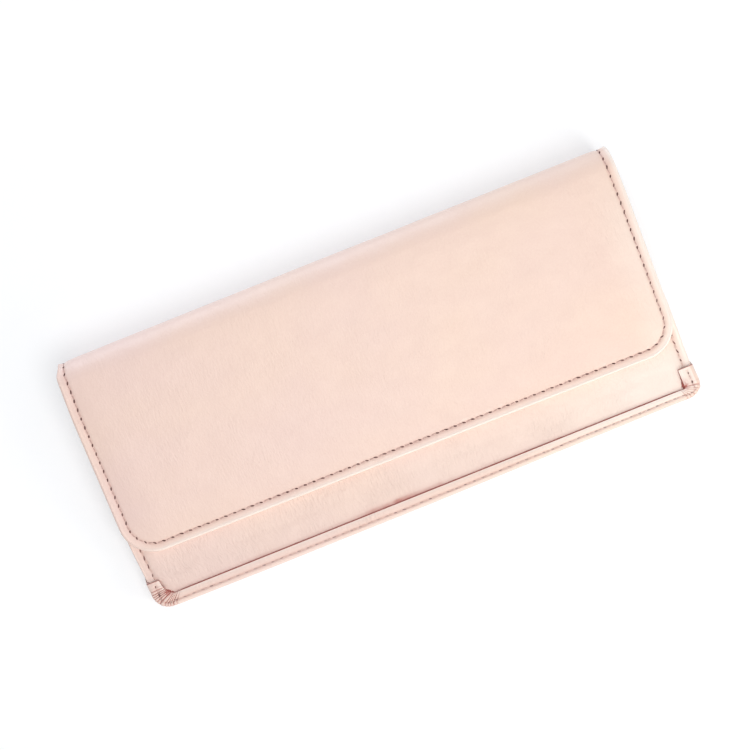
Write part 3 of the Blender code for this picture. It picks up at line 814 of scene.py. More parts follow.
def make_back():
    """The back leather, from the middle of the spine under the wallet to the foot of the lip."""
    under = lining_top - lining - sheet_gap - 0.05 * mm
    rim, others = rounded_rim(under), seam_rings(flap_seam_inset)
    sheet = Sheet(back_path, body_settled, half_length, lip_corner_radius, rim, others, 0.9 * mm, body_width)
    # Where it meets the flap's sheet on the spine, it is as thick.
    thicker = 0.146
    sheet.h *= 1 + thicker * (1 - smooth(sheet.s, 1 * mm, 10 * mm)) * smooth(-sheet.h, rim_radius, 1.3 * mm)
    at_lip = smooth(sheet.s, back_hinge_s - 0.3 * mm, back_hinge_s + 0.3 * mm)
    sheet.h = np.where(sheet.h < -rim_top, sheet.h * (1 - at_lip) - rim_top * at_lip, sheet.h)

    def relief(x, s, d, t):
        on_bottom = smooth(s, split_z, split_z + 12 * mm)
        as_flap = 1 - smooth(s, 1 * mm, 10 * mm)
        pad = back_pad + (flap_pad - back_pad) * as_flap
        pulled = seam_relief(d, t, flap_seam_inset, groove_depth, 5 * mm, pad)
        lumps = 0.04 * mm * (ripple(x, s, 17 * mm, 8) - 1) * smooth(d, 2 * mm, 9 * mm)
        return pulled + lumps * on_bottom

    back = build_sheet("back_leather_sheet", sheet, relief)
    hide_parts("back_leather")
    seam = Seam("back_stitches")
    seam.run(*seam_line(sheet, flap_seam_inset, -0.4 * mm), dark=0.9)
    sewn = seam.build()
    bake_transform(sewn)


make_back()

# The turned lip, walked along its foot from the end of one tab to the end of the other
tab_length = hinge_y - lip_y
tab_side = tab_length - lip_corner_radius
corner_run = lip_corner_radius * math.pi / 2
lip_front = 2 * (half_length - lip_corner_radius)
lip_run = 2 * (tab_side + corner_run) + lip_front
lip_edge_radius = 1.2 * mm


def lip_outline(p, inset):
    """x and y at a length p along the lip's foot, drawn in from its edge by an inset."""
    q = np.minimum(p, lip_run - p)
    turn = np.clip((q - tab_side) / lip_corner_radius, 0.0, math.pi / 2)
    radius = lip_corner_radius - inset
    along = np.maximum(q - tab_side - corner_run, 0.0)
    x = -(half_length - lip_corner_radius) - radius * np.cos(turn) + along
    y = lip_y + lip_corner_radius - radius * np.sin(turn) + np.maximum(tab_side - q, 0.0)
    return np.where(p < lip_run / 2, x, -x), y


def lip_inner(p):
    """x and y of the lip's inner edge, across from the length p along its foot."""
    q = np.minimum(p, lip_run - p)
    left = p < lip_run / 2
    places = []
    for corner in (2.1 * mm, 0.7 * mm):
        side = tab_length - lip_width - corner
        turned = corner * math.pi / 2
        start_x = tab_width + corner
        meet = tab_side + corner_run + 7.0 * mm
        known = [0.0, 3.0 * mm, tab_side, tab_side + corner_run, meet, lip_run]
        reach = side + turned + (lip_corner_radius + 7.0 * mm - start_x)
        mapped = [0.0, 3.0 * mm, side - 0.6 * mm, side + turned + 0.8 * mm, reach, reach + lip_run - meet]
        r = np.interp(q, known, mapped)
        angle = np.clip((r - side) / corner, 0.0, math.pi / 2)
        x = -half_length + tab_width + corner - corner * np.cos(angle) + np.maximum(r - side - turned, 0.0)
        y = hinge_y - np.minimum(r, side) - corner * np.sin(angle)
        places.append((x, y))
    # The left tab widens towards the corner.
    known = [0.0, 3.0 * mm, tab_side + corner_run * 0.6, meet]
    lean = np.interp(q, known, [-1.0 * mm, -0.7 * mm, 0.8 * mm, 0.0])
    x = np.where(left, places[0][0] + lean, -places[1][0])
    return x, np.where(left, places[0][1], places[1][1])


def pleats(p):
    """How strongly the leather is gathered at a length along the lip, how deep in a crease, and the painted
    shade along the creases.
    """
    q = np.minimum(p, lip_run - p)
    left = p < lip_run / 2
    middle = tab_side + corner_run / 2
    reach = np.where(left, 7.9 * mm, 6.0 * mm)
    offset = np.where(left, -0.6 * mm, 0.6 * mm)
    strength = smooth(reach - np.abs(q - middle - offset), 0.0, 2.2 * mm) * np.where(left, 1.0, 0.7)
    pitch = np.where(left, 1.3 * mm, 1.6 * mm)
    count = q / pitch + 0.35 * ripple(p, 0 * p, 2.3 * mm, 31)
    from_line = np.abs((count + 0.5) % 1.0 - 0.5) * pitch
    lines = hump(from_line, 0.0, 0.24 * mm) * (0.8 + 0.2 * ripple(p, 0 * p, 1.1 * mm, 32))
    return strength, 1 - np.abs(np.sin(math.pi * count)) ** 0.5, strength * lines


def polyline_place(x, y, line_x, line_y):
    """Distance from every point to a line, and the length along it of the nearest place."""
    best = np.full(x.shape, 1e9)
    place = np.zeros(x.shape)
    start = 0.0
    for ax, ay, bx, by in zip(line_x, line_y, line_x[1:], line_y[1:]):
        dx, dy = bx - ax, by - ay
        length = math.hypot(dx, dy)
        if length < 1e-9:
            continue
        share = np.clip(((x - ax) * dx + (y - ay) * dy) / length**2, 0, 1)
        gap = np.hypot(x - ax - share * dx, y - ay - share * dy)
        place = np.where(gap < best, start + share * length, place)
        best = np.minimum(best, gap)
        start += length
    return best, place


tab_drops = (1.9 * mm, 1.1 * mm)
tab_end = 0.05 * mm


def lip_seam_line():
    """x and y of the seam that runs down one tab, along the lip and up the other tab."""
    side, front, turn = half_length - 2.7 * mm, lip_y + lip_seam_inset, 1.4 * mm
    angle = np.linspace(0.0, math.pi / 2, 8)
    x = np.concatenate([[-side], -side + turn - turn * np.cos(angle)])
    y = front + turn - turn * np.sin(angle)
    tops = [hinge_y - drop - 0.3 * mm for drop in tab_drops]
    middle = np.linspace(x[-1], -x[-1], 180)[1:-1]
    wave = 0.07 * mm * ripple(middle, 0 * middle, 7 * mm, 41)
    all_y = np.concatenate([tops[:1], y, front + wave, y[::-1], tops[1:]])
    return np.concatenate([x, middle, -x[::-1]]), all_y


def square_tabs(points, q, left):
    """Cuts the tabs' ends square, with cut edges that lean back a little."""
    ends = hump(q, 0.0, tab_end)[None, :]
    outer_rows = slice(1, 26)
    points[outer_rows, :, 2] -= 0.34 * mm * ends * smooth(points[outer_rows, :, 2], 5 * mm, 8 * mm)
    back = np.where(q < tab_end, 0.28 * mm, 0.0)[None, :]
    points[:, :, 1] += back * smooth(points[:, :, 2], 6 * mm, 2 * mm)
    drop = np.where(left, *tab_drops)[None, :] * smooth(points[:, :, 2], 4.5 * mm, 7.4 * mm)
    points[:, :, 1] -= drop * np.clip((points[:, :, 1] - hinge_y) / (7.5 * mm) + 1, 0.0, 1.0)


def lip_faces(points, q, cut_rows):
    """The lip's faces, closed at both ends, and which of them take the cut edge's colour with its painted
    shade.
    """
    rings, count = points.shape[:2]
    faces, index = grid_faces(rings, count, True), []
    for k in range(rings):
        for i in range(count - 1):
            at_end = min(q[i], q[i + 1]) < tab_end and points[k, i, 2] > 7.2 * mm
            index.append(int(cut_rows[(k + 1) % rings] or at_end))
    faces.append(tuple(k * count for k in range(rings)))
    faces.append(tuple(k * count + count - 1 for k in range(rings))[::-1])
    return faces, index + [0, 0]


def make_lip():
    """The lip turned up over the front panel, with its gathered corner tabs."""
    fine = np.arange(0.0, tab_side + corner_run + 6.0 * mm, 0.12 * mm)
    first = np.concatenate([[0.0, 0.1 * mm], fine[1:]])
    middle = np.linspace(first[-1], lip_run - first[-1], 250)[1:-1]
    p = np.concatenate([first, middle, lip_run - first[::-1]])
    q = np.minimum(p, lip_run - p)
    strength, crease, pleat_shade = pleats(p)
    left = p < lip_run / 2
    inner_x, inner_y = lip_inner(p)
    top_x, top_y = lip_outline(p, lip_edge_radius)
    line_x, line_y = lip_seam_line()
    rows, tint, painted_light, kind = [], [], [], []

    def add(x, y, z, painted_shade_tint, painted_light_tint=0.0, dark=False):
        rows.append(np.stack(np.broadcast_arrays(x, y, z), -1))
        tint.append(np.broadcast_to(painted_shade_tint, p.shape))
        painted_light.append(np.broadcast_to(painted_light_tint, p.shape))
        kind.append(dark)

    gather = strength * crease
    # A dark line at the tabs' cut ends: the cut edge's colour and painted shade beside it.
    end_line = 0.9 * hump(q, 0.0, 0.25 * mm)
    at_corner = hump(q, np.where(left, 9.2 * mm, 7.6 * mm), np.where(left, 2.5 * mm, 3.0 * mm))
    pleat_depth, top_pleat_depth = 0.4 * mm, 0.34 * mm
    # The outer wall, with painted shade in the pleats' creases towards the top.
    for z in (rim_top, 2.4 * mm, 3.6 * mm, 4.8 * mm, 6.0 * mm, 6.9 * mm):
        share = smooth(z, rim_top, 6.5 * mm)
        add(*lip_outline(p, pleat_depth * gather * share), z + 0 * p, 0.6 * pleat_shade * share)
    for degrees in (0, 18, 36, 54, 72, 90):
        a = math.radians(degrees)
        fold = top_pleat_depth * gather
        x_in, y_in = lip_outline(p, lip_edge_radius * (1 - math.cos(a)) + fold * math.cos(a))
        z = lip_height - lip_edge_radius * (1 - math.sin(a)) - fold * math.sin(a)
        line = 0.9 * pleat_shade + end_line * math.sin(a)
        # Painted highlight along the round top edge away from the pleats; painted shade in the pleats' creases
        # and at the tabs' ends.
        shine = 0.35 * (1 - strength) * math.sin(2 * a) ** 2
        add(x_in, y_in, z, np.clip(line, 0, 1), shine)
    for share in (0.06, 0.12, 0.16, 0.2, 0.24, 0.28, 0.34, 0.42, 0.52, 0.64, 0.76, 0.86, 0.94, 1.0):
        x, y = top_x + (inner_x - top_x) * share, top_y + (inner_y - top_y) * share
        gap, along = polyline_place(x, y, line_x, line_y)
        beat = 0.5 + 0.5 * np.cos(2 * math.pi * along / stitch_pitch)
        groove = (0.30 + 0.10 * beat) * mm * hump(gap, 0.0, 0.55 * mm)
        swell = 0.10 * mm * np.sin(math.pi * share) * (1 + 0.5 * ripple(p, 0 * p, 3.1 * mm, 33))
        low = 0.55 * mm * gather * (1 - 0.45 * share)
        roll = 0.22 * mm * smooth(share, 0.8, 1.0)
        z = lip_height - groove - low - roll + swell
        # On the top: painted shade in the corner hollow, the pleats' creases, the seam's groove and at the
        # tabs' ends; painted highlight near the inner roll and painted light towards the right end.
        corner_shade = at_corner * hump(share, 1.0, 0.34) * (1.0 + 0.5 * ripple(p, share * 8 * mm, 0.9 * mm, 37))
        top_shade = pleat_shade * (1.1 - 0.3 * share) + 0.25 * hump(gap, 0.0, 0.4 * mm) + corner_shade + end_line
        add(x, y, z, np.clip(top_shade, 0, 1), 0.5 * hump(share, 0.9, 0.14) + 0.72 * smooth(x, 10 * mm, 90 * mm))
    # The cut inner edge slopes into the gap above the front panel; its dark colour is the cut edge's and
    # painted shade for the gap, most at the corners.
    slit = 0.04 * mm + 0.27 * mm * smooth(q, tab_side + corner_run, tab_side + corner_run + 3 * mm)
    slit = slit + np.where(left, 0.65 * mm, 0.85 * mm) * at_corner
    slit = slit + 0.35 * mm * at_corner * ripple(p, 0 * p, 0.8 * mm, 35)
    slit = slit + 0.05 * mm * ripple(p, 0 * p, 6 * mm, 36)
    step = np.stack([inner_x - top_x, inner_y - top_y])
    step = step / np.linalg.norm(step, axis=0)
    for reach, z in ((0.12, 8.30), (0.75, 7.72), (1.0, 7.60)):
        x, y = inner_x + step[0] * slit * reach, inner_y + step[1] * slit * reach
        add(x, y, z * mm + 0 * p, 0.8, dark=True)
    add(inner_x - step[0] * 0.6 * mm, inner_y - step[1] * 0.6 * mm, 7.56 * mm + 0 * p, 0.8, dark=True)
    for inset, z in ((1.4, 7.7), (1.0, 7.2), (1.0, 4.5), (1.0, 1.3)):
        x, y = lip_outline(p, inset * mm)
        add(x, y, z * mm + 0 * p, 0.5, dark=True)

    points = np.stack(rows)
    square_tabs(points, q, left)
    faces, index = lip_faces(points, q, kind)
    height = points[..., 2]
    flat = np.stack([points[..., 0], points[..., 1] - height, 0 * height], -1).reshape(-1, 3) / mm
    attributes = {"flat": flat, "crease": np.stack(tint).ravel(), "painted_light": np.stack(painted_light).ravel()}
    attributes["wrinkled"] = 1.0 + 0 * attributes["painted_light"]
    points = drifted(points.reshape(-1, 3))
    faces = outward(points, faces, 3 * (len(p) - 1) + len(p) // 2, np.array([0.0, -1.0, 0.0]))
    lip = new_object("lip_leather", points, faces, [blush, shaded_cut_edge], attributes, index, 40)
    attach(lip, "back")
    sew_lip(line_x, line_y)


def sew_lip(line_x, line_y):
    """The seam down both tabs, with painted shade for its open holes, and the fine one along the lip."""
    places = drifted(np.stack([line_x, line_y, np.full(line_x.shape, lip_height - groove_depth)], -1))
    ups = np.tile([0.0, 0.0, 1.0], (len(places), 1))
    seam_end = walked(places)[-1]

    def on_tab(at):
        return at < tab_length - stitch_pitch

    def on_front(at):
        return not on_tab(min(at, seam_end - at))

    seam = Seam("tab_stitches")
    for line, start in ((places, 0.92), (places[::-1], 1.09)):
        seam.run(line, ups, start=start, keep=on_tab, size=(1.3, 0.6), next_hole=-0.5)
    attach(seam.build(), "back")
    seam = Seam("lip_stitches", (pale_thread, faint_hole_shade))
    seam.run(places, ups, start=0.3, keep=on_front, size=(1.2, 0.36), slant=0.1)
    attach(seam.build(), "back")


make_lip()


def foot_width(s):
    """The front panel's foot follows the lip's rounded corners."""
    corner, gap = 5.2 * mm, 1.4 * mm
    into = np.clip(corner - np.asarray(s), 0.0, corner)
    half = body_half_length - gap * smooth(s, 10 * mm, 7 * mm) - corner + np.sqrt(corner**2 - into**2)
    return half / body_half_length


def make_front():
    """The front panel, from under the lip up the slope to its mouth."""
    under = leather
    rim = [(rim_band, under), (1.0 * mm, under), (0.4 * mm, under - 0.04 * mm), (0.1 * mm, under - 0.2 * mm)]
    rim += round_edge(0.5 * mm)
    others = [(0.9 * mm, 0.0)] + seam_rings(side_seam_inset)
    sheet = Sheet(front_path, drifted, body_half_length, 1.5 * mm, rim, others, 0.8 * mm, foot_width)
    # At the mouth, the leather is turned down over the board as well.
    deep = smooth(sheet.s, sheet.length - 8.2 * mm, sheet.length - rim_band)
    deep = deep * smooth(np.abs(sheet.x), 88.5 * mm, 87.5 * mm)
    deeper = 1.35
    sheet.h *= 1 + deeper * deep
    lip_s = lip_y + lip_width - front_path.rows[0][1]

    def relief(x, s, d, t):
        in_corner = smooth(s, lip_s, lip_s + 2 * mm)
        pulled = seam_relief(d, t, side_seam_inset, 0.3 * mm, 3.5 * mm, 0.12 * mm)
        lumps = 0.05 * mm * ripple(x, s, 13 * mm, 12) + 0.03 * mm * ripple(x, s, 5 * mm, 13)
        pinch = 0.08 * mm * hump(x, -8 * mm, 8 * mm) * hump(s, lip_s + 0.55 * mm, 0.45 * mm)
        pinch -= 0.06 * mm * hump(x, -9 * mm, 7 * mm) * hump(s, lip_s + 1.5 * mm, 0.5 * mm)
        pressed = 0.06 * mm * (1 - smooth(s, lip_s - 1 * mm, lip_s + 2 * mm))
        places = [0.0, lip_s, foot_length - 1 * mm, foot_length + 2 * mm, 24 * mm]
        full = np.interp(s, places, [0.0, 0.0, 0.42 * mm, 0.40 * mm, 0.0])
        full = full * smooth(d, 0.5 * mm, 6 * mm)
        return pulled * in_corner + (lumps + pinch) * smooth(d, 2 * mm, 7 * mm) - pressed + full

    def tints(x, s, d, t):
        crease, painted_light = leather_tints(x, s, d, t, side_seam_inset)
        # Painted shade under the lip and just above its line.
        near = 0.58 * (1 - smooth(s, lip_s - 0.2 * mm, lip_s + 0.35 * mm))
        near = near + 0.08 * hump(s, lip_s + 0.7 * mm, 0.6 * mm)
        patchy = 0.75 + 0.5 * ripple(x, s, 2.2 * mm, 14)
        pinch = 0.85 * hump(x, -9 * mm, 15 * mm) * hump(s, lip_s + 0.4 * mm, 1.1 * mm) * patchy
        pinch = pinch + 0.25 * hump(x, -61 * mm, 5 * mm) * hump(s, lip_s + 0.4 * mm, 0.5 * mm)
        # Painted light a little all over, and more towards the right end near the foot.
        to_right = 0.09 * smooth(x, -20 * mm, 8 * mm) + 0.56 * smooth(x, 30 * mm, 95 * mm)
        painted_light_right = 0.09 + to_right * smooth(s, 24 * mm, 10 * mm)
        return np.clip(crease + near + pinch, 0, 1), np.clip(painted_light + painted_light_right, 0, 1)

    front = build_sheet("front_leather_sheet", sheet, relief, tints, 1.0)
    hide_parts("front_leather", "front_leather_foot")
    # Its side seams run straight on past the rounding of the foot.
    sheet.widen = None
    seam = Seam("front_stitches", (pale_thread, brown_hole_shade))
    line = seam_line(sheet, side_seam_inset, -0.34 * mm, foot_length - 2.6 * mm)
    middle = len(line[0]) // 2
    seam.run(*(part[: middle + 1] for part in line), start=0.22, slant=0.2, size=(1.7, 0.5))
    seam.run(*(part[middle:][::-1] for part in line), start=0.62, slant=-0.2, size=(1.7, 0.5))
    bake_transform(seam.build())


make_front()


# Inside: linings, card slots, hem, coin pocket, gussets and zip


class Tilted:
    """A plane along x and up a slope: v up the slope from its foot, and w above it."""

    def __init__(self, y, z, angle):
        self.y, self.z, self.angle = y, z, angle
        self.cos, self.sin = math.cos(angle), math.sin(angle)

    def at(self, x, v, w):
        v, w = np.asarray(v, float), np.asarray(w, float)
        y, z = self.y + v * self.cos - w * self.sin, self.z + v * self.sin + w * self.cos
        return np.stack(np.broadcast_arrays(x, y, z), axis=-1)

    def height(self, y, w):
        """z of the plane that lies w above this one, at a place y."""
        return self.z + (y - self.y + w * self.sin) / self.cos * self.sin + w * self.cos


level = Tilted(0.0, 0.0, 0.0)
front_plane = Tilted(hinge_y, front_height, slope)
front_length = slope_v(front_mouth_y, 0.0)
board_under = -leather - sheet_gap - board
lining_under = board_under - sheet_gap - lining
facing_under = lining_under - sheet_gap - slot_leather
facing_height = 12.0 * mm
front_board_start = 12.5 * mm
card_slot_height = 24.0 * mm
card_slot_step = 12.0 * mm
first_slot_top = spine_y - 11.0 * mm
slot_turned = 5.5 * mm
slot_seam_drop = 1.7 * mm
inner_seam_x = 87.4 * mm
lining_half_length, lining_corner = 98.0 * mm, 4.7 * mm
flap_lining_half_length, flap_lining_corner = 99.4 * mm, 11.4 * mm
hem_half_length = 98.7 * mm
hem_bottom, hem_top = 3.0 * mm, 6.2 * mm

# The coin pocket stands in the wedge between the card slots and the front panel's facing, with
# these shares of the height there: where its base stands, what is under its mouth, and its mouth.
pocket_base_share, under_mouth_share, mouth_share = 0.43, 0.445, 0.355
pocket_from_spine = 16.3 * mm
pocket_base_z = lining_top + (front_height - leather - lining_top) * pocket_base_share
pocket_mouth_y = spine_y - pocket_from_spine
mouth_floor = lining_top + sheet_gap + slot_leather
mouth_space = front_plane.height(pocket_mouth_y, facing_under) - mouth_floor
pocket_mouth_z = mouth_floor + mouth_space * (under_mouth_share + mouth_share / 2)
half_base, half_mouth = 0.65 * mm, mouth_space * mouth_share / 2
pocket_run, pocket_lift = pocket_mouth_y - hinge_y, pocket_mouth_z - pocket_base_z
pocket = Tilted(hinge_y, pocket_base_z, math.atan2(pocket_lift, pocket_run))
pocket_length = math.hypot(pocket_run, pocket_lift)
pocket_flare = math.atan2(half_mouth - half_base, pocket_length)
rear_foot = pocket.at(0.0, 0.0, -half_base)
rear_wall = Tilted(rear_foot[1], rear_foot[2], pocket.angle - pocket_flare)
tape_floor = pocket_length + sheet_gap
tape_thickness = 0.5 * mm
coil_floor = tape_floor + tape_thickness + sheet_gap
coil_width, coil_height = 1.15 * mm, 1.1 * mm
coil_end = inner_half_length - 4.6 * mm
coil_pitch = 1.3 * mm
coil_wire = 0.19 * mm
tape_seam_w = 1.62 * mm


def rounded_half(half, length, corner):
    """Half width of a sheet at s, with its two far corners rounded."""

    def at(s):
        into = np.clip(np.asarray(s, float) - (length - corner), 0.0, corner)
        return half - corner + np.sqrt(np.maximum(corner**2 - into**2, 0.0))

    return at


def steady(value):
    """A function that gives value at every x and s, or value itself if it is one already."""
    return value if callable(value) else (lambda *at: value + 0 * at[-1])


def strip(
    name, place, stations, half, heights, material, relief, columns,
    tints=None, round_foot=False, settle=drifted,
):
    """A closed sheet drawn out along x, whose section runs over the stations between two heights."""
    stations = np.asarray(stations, float)
    half, low, high = steady(half), *(steady(height) for height in heights)
    inner_u = np.linspace(-1, 1, columns + 1)[1:-1]
    u = np.concatenate([[-1, -1, -1], inner_u, [1, 1, 1]])
    thick = float(np.mean(high(0 * stations, stations) - low(0 * stations, stations)))
    edge = np.concatenate([[0.0, 0.13, 0.4], np.zeros(len(inner_u)), [0.4, 0.13, 0.0]]) * thick
    plump = np.concatenate([[0.3, 0.72, 1.0], np.ones(len(inner_u)), [1.0, 0.72, 0.3]])
    count = len(stations)
    loop_s = np.concatenate([stations, stations[::-1]])
    side = np.concatenate([np.ones(count), -np.ones(count)])
    taper = np.ones(count)
    taper[-2:] = 0.85, 0.35
    if round_foot:
        taper[:2] = 0.35, 0.85
    side *= np.concatenate([taper, taper[::-1]])
    x = u[None, :] * half(loop_s)[:, None] - np.sign(u)[None, :] * edge[None, :]
    s = np.broadcast_to(loop_s[:, None], x.shape)
    bottom, top = low(x, s), high(x, s)
    h = (top + bottom) / 2 + (top - bottom) / 2 * side[:, None] * plump[None, :] + relief(x, s)
    points = place(x, s, h).reshape(-1, 3)
    wide, loops = x.shape[1], 2 * count
    faces = grid_faces(loops, wide, True)
    for k in range(count - 1):
        other = loops - 1 - k
        faces.append((k * wide, (k + 1) * wide, (other - 1) * wide, other * wide))
        end = wide - 1
        faces.append((k * wide + end, other * wide + end, (other - 1) * wide + end, (k + 1) * wide + end))
    middle = (count // 2) * wide + wide // 2
    up = place(x, s, h + 1.0).reshape(-1, 3)[middle] - points[middle]
    faces = outward(points, faces, (count // 2) * (wide - 1) + wide // 2, up)
    points = settle(points)
    crease, painted_light = (0 * x, 0 * x) if tints is None else tints(x, s)
    flat = np.stack([x, s, 0 * x], -1).reshape(-1, 3) / mm
    attributes = {"flat": flat, "crease": np.ravel(crease), "painted_light": np.ravel(painted_light)}
    return new_object(name, points, faces, material, attributes, None, 60)


def merged(*stations):
    return np.unique(np.concatenate(stations))


def fine_ends(first, last, step, near=0.12 * mm):
    """Stations from first to last, close together at both ends."""
    inside = np.linspace(first + 4 * near, last - 4 * near, max(3, round((last - first) / step)))
    return np.concatenate([[first, first + near], inside, [last - near, last]])


def make_linings():
    """The cloth on the back and half the spine, and the cloth on the flap and the other half."""
    end = back_path.length - leather - sheet_gap
    stations = fine_ends(0.0, end, 1.6 * mm)
    half = rounded_half(lining_half_length, end, lining_corner)

    def relief(x, s):
        return 0.05 * mm * ripple(x, s, 15 * mm, 51) + 0.03 * mm * ripple(x, s, 5 * mm, 52)

    heights = (-lining_depth - lining / 2, -lining_depth + lining / 2)
    back = strip("back_lining_cloth", back_path.at, stations, half, heights, cloth, relief, 120)
    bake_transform(back)
    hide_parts("back_lining")

    end = flap_path.length - 0.6 * mm
    at_corner = end - flap_lining_corner * (1 - np.sin(np.linspace(0, math.pi / 2, 14)))
    stations = merged(fine_ends(0.0, end, 1.4 * mm), at_corner)
    half = rounded_half(flap_lining_half_length, end, flap_lining_corner)

    def place(x, s, h):
        return flap_path.at(x, s + flap_skew(x, s), h)

    flap = strip("flap_lining_cloth", place, stations, half, heights, cloth, relief, 150, settle=pinched)
    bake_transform(flap)
    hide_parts("spine_lining", "flap_lining")


make_linings()


def straight_seam(seam, place, first, last, height, upward, **settings):
    """Stitches along a straight run between two places in x and s."""
    share = np.linspace(0, 1, 90)
    x = first[0] + (last[0] - first[0]) * share
    s = first[1] + (last[1] - first[1]) * share
    points = place(x, s, height + 0 * x)
    ups = (place(x, s, height + 1.0 * mm) - points) / mm * upward
    seam.run(drifted(points), ups, **settings)


def make_card_slots():
    """Three rows of card slots, each with a turned top edge and sewn down at its sides and middle."""
    seam = Seam("card_slot_stitches")
    for i, name in enumerate(("card_slot_top", "card_slot_middle", "card_slot_bottom")):
        top = first_slot_top - card_slot_step * i
        seam_s = top - slot_seam_drop
        low = lining_top + sheet_gap + (slot_leather + sheet_gap) * i

        def relief(x, s, top=top, seam_s=seam_s, seed=60 + i):
            near = smooth(s, top - slot_turned, top - slot_turned + 0.8 * mm)
            dip = 0.09 * mm * hump(s, seam_s, 0.5 * mm) + 0.16 * mm * hump(x, 0.0, 0.6 * mm)
            loose = 0.07 * mm * smooth(s, top - 14 * mm, top) * ripple(x, s, 24 * mm, seed + 9)
            return 0.10 * mm * near - dip + (0.05 * mm * ripple(x, s, 9 * mm, seed) + loose)

        def tints(x, s, top=top, seam_s=seam_s):
            # Painted shade along the seams and painted highlight along the turned top edge.
            crease = 0.35 * hump(s, seam_s, 0.4 * mm) + 0.4 * hump(x, 0.0, 0.45 * mm)
            return np.clip(crease, 0, 1), 0.4 * hump(s, top, 0.4 * mm)

        at_seam = np.linspace(top - 2.8 * mm, top - 0.6 * mm, 10)
        stations = merged(fine_ends(top - card_slot_height, top, 0.9 * mm), at_seam)
        surface, reach = low + slot_leather, inner_half_length - 1.0 * mm
        made = strip(
            name + "_leather", level.at, stations, inner_half_length, (low, surface), inner, relief, 180, tints
        )
        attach(made, "back")
        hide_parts(name)
        straight_seam(seam, level.at, (-reach, seam_s), (reach, seam_s), surface, 1, dark=0.8, start=0.6)
        following = top - card_slot_step if i < 2 else top - card_slot_height
        for x in (-inner_seam_x, 0.0, inner_seam_x):
            ends = (x, top - 2.6 * mm), (x, following + 0.8 * mm)
            straight_seam(seam, level.at, *ends, surface - 0.06 * mm, 1, dark=0.8, start=0.5)
    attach(seam.build(), "back")


make_card_slots()


def make_hem():
    """Layers of lining gathered in the sewn bottom edge, under the lip."""
    near, far = lip_y + leather + sheet_gap, hinge_y - sheet_gap / 2

    def relief(x, s):
        return 0.06 * mm * ripple(x, s, 6 * mm, 71)

    mirrored = rounded_half(hem_half_length, -near, lining_corner)

    def half(y):
        return mirrored(-y)

    at_corner = near + lining_corner * (1 - np.cos(np.linspace(0, math.pi / 2, 8)))
    stations = merged(fine_ends(near, far, 0.8 * mm), at_corner)
    heights = (hem_bottom, hem_top)
    hem = strip("bottom_seam_cloth", level.at, stations, half, heights, cloth, relief, 90, round_foot=True)
    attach(hem, "back")
    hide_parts("bottom_seam_hem")


make_hem()


def make_front_inside():
    """The lining of the front panel, with its leather facing sewn along the mouth."""
    end = front_length - 1.0 * mm
    close = -leather - sheet_gap - lining / 2
    deep = lining_under + lining / 2

    def middle(s):
        return close + (deep - close) * smooth(s, 10.5 * mm, front_board_start - 0.2 * mm)

    heights = (lambda x, s: middle(s) - lining / 2, lambda x, s: middle(s) + lining / 2)

    def relief(x, s):
        return 0.04 * mm * ripple(x, s, 12 * mm, 74)

    foot = 2.0 * mm
    stations = merged(fine_ends(foot, end, 1.4 * mm), np.linspace(10.3 * mm, 12.6 * mm, 9))
    made = strip(
        "front_lining_cloth", front_plane.at, stations, inner_half_length, heights, cloth, relief, 140,
        round_foot=True
    )
    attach(made, "front")
    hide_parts("front_lining")

    first = end - facing_height
    upper_seam, lower_seam = end - 2.0 * mm, first + 1.5 * mm

    def dip(x, s):
        groove = 0.09 * mm * (hump(s, upper_seam, 0.5 * mm) + hump(s, lower_seam, 0.45 * mm))
        return groove + 0.03 * mm * ripple(x, s, 8 * mm, 75)

    def tints(x, s):
        # Painted shade along the two seams and painted highlight along the mouth's edge.
        crease = 0.35 * (hump(s, upper_seam, 0.4 * mm) + hump(s, lower_seam, 0.4 * mm))
        return np.clip(crease, 0, 1), 0.35 * hump(0 * x + s, end, 0.5 * mm)

    made = strip(
        "front_facing_leather", front_plane.at, fine_ends(first, end, 0.5 * mm), inner_half_length,
        (facing_under, facing_under + slot_leather), inner, dip, 180, tints, True
    )
    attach(made, "front")
    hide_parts("front_facing")
    seam = Seam("facing_stitches")
    for v in (upper_seam, lower_seam):
        ends = (-inner_seam_x, v), (inner_seam_x, v)
        straight_seam(seam, front_plane.at, *ends, facing_under + 0.04 * mm, -1, dark=0.8)
    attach(seam.build(), "front")


make_front_inside()


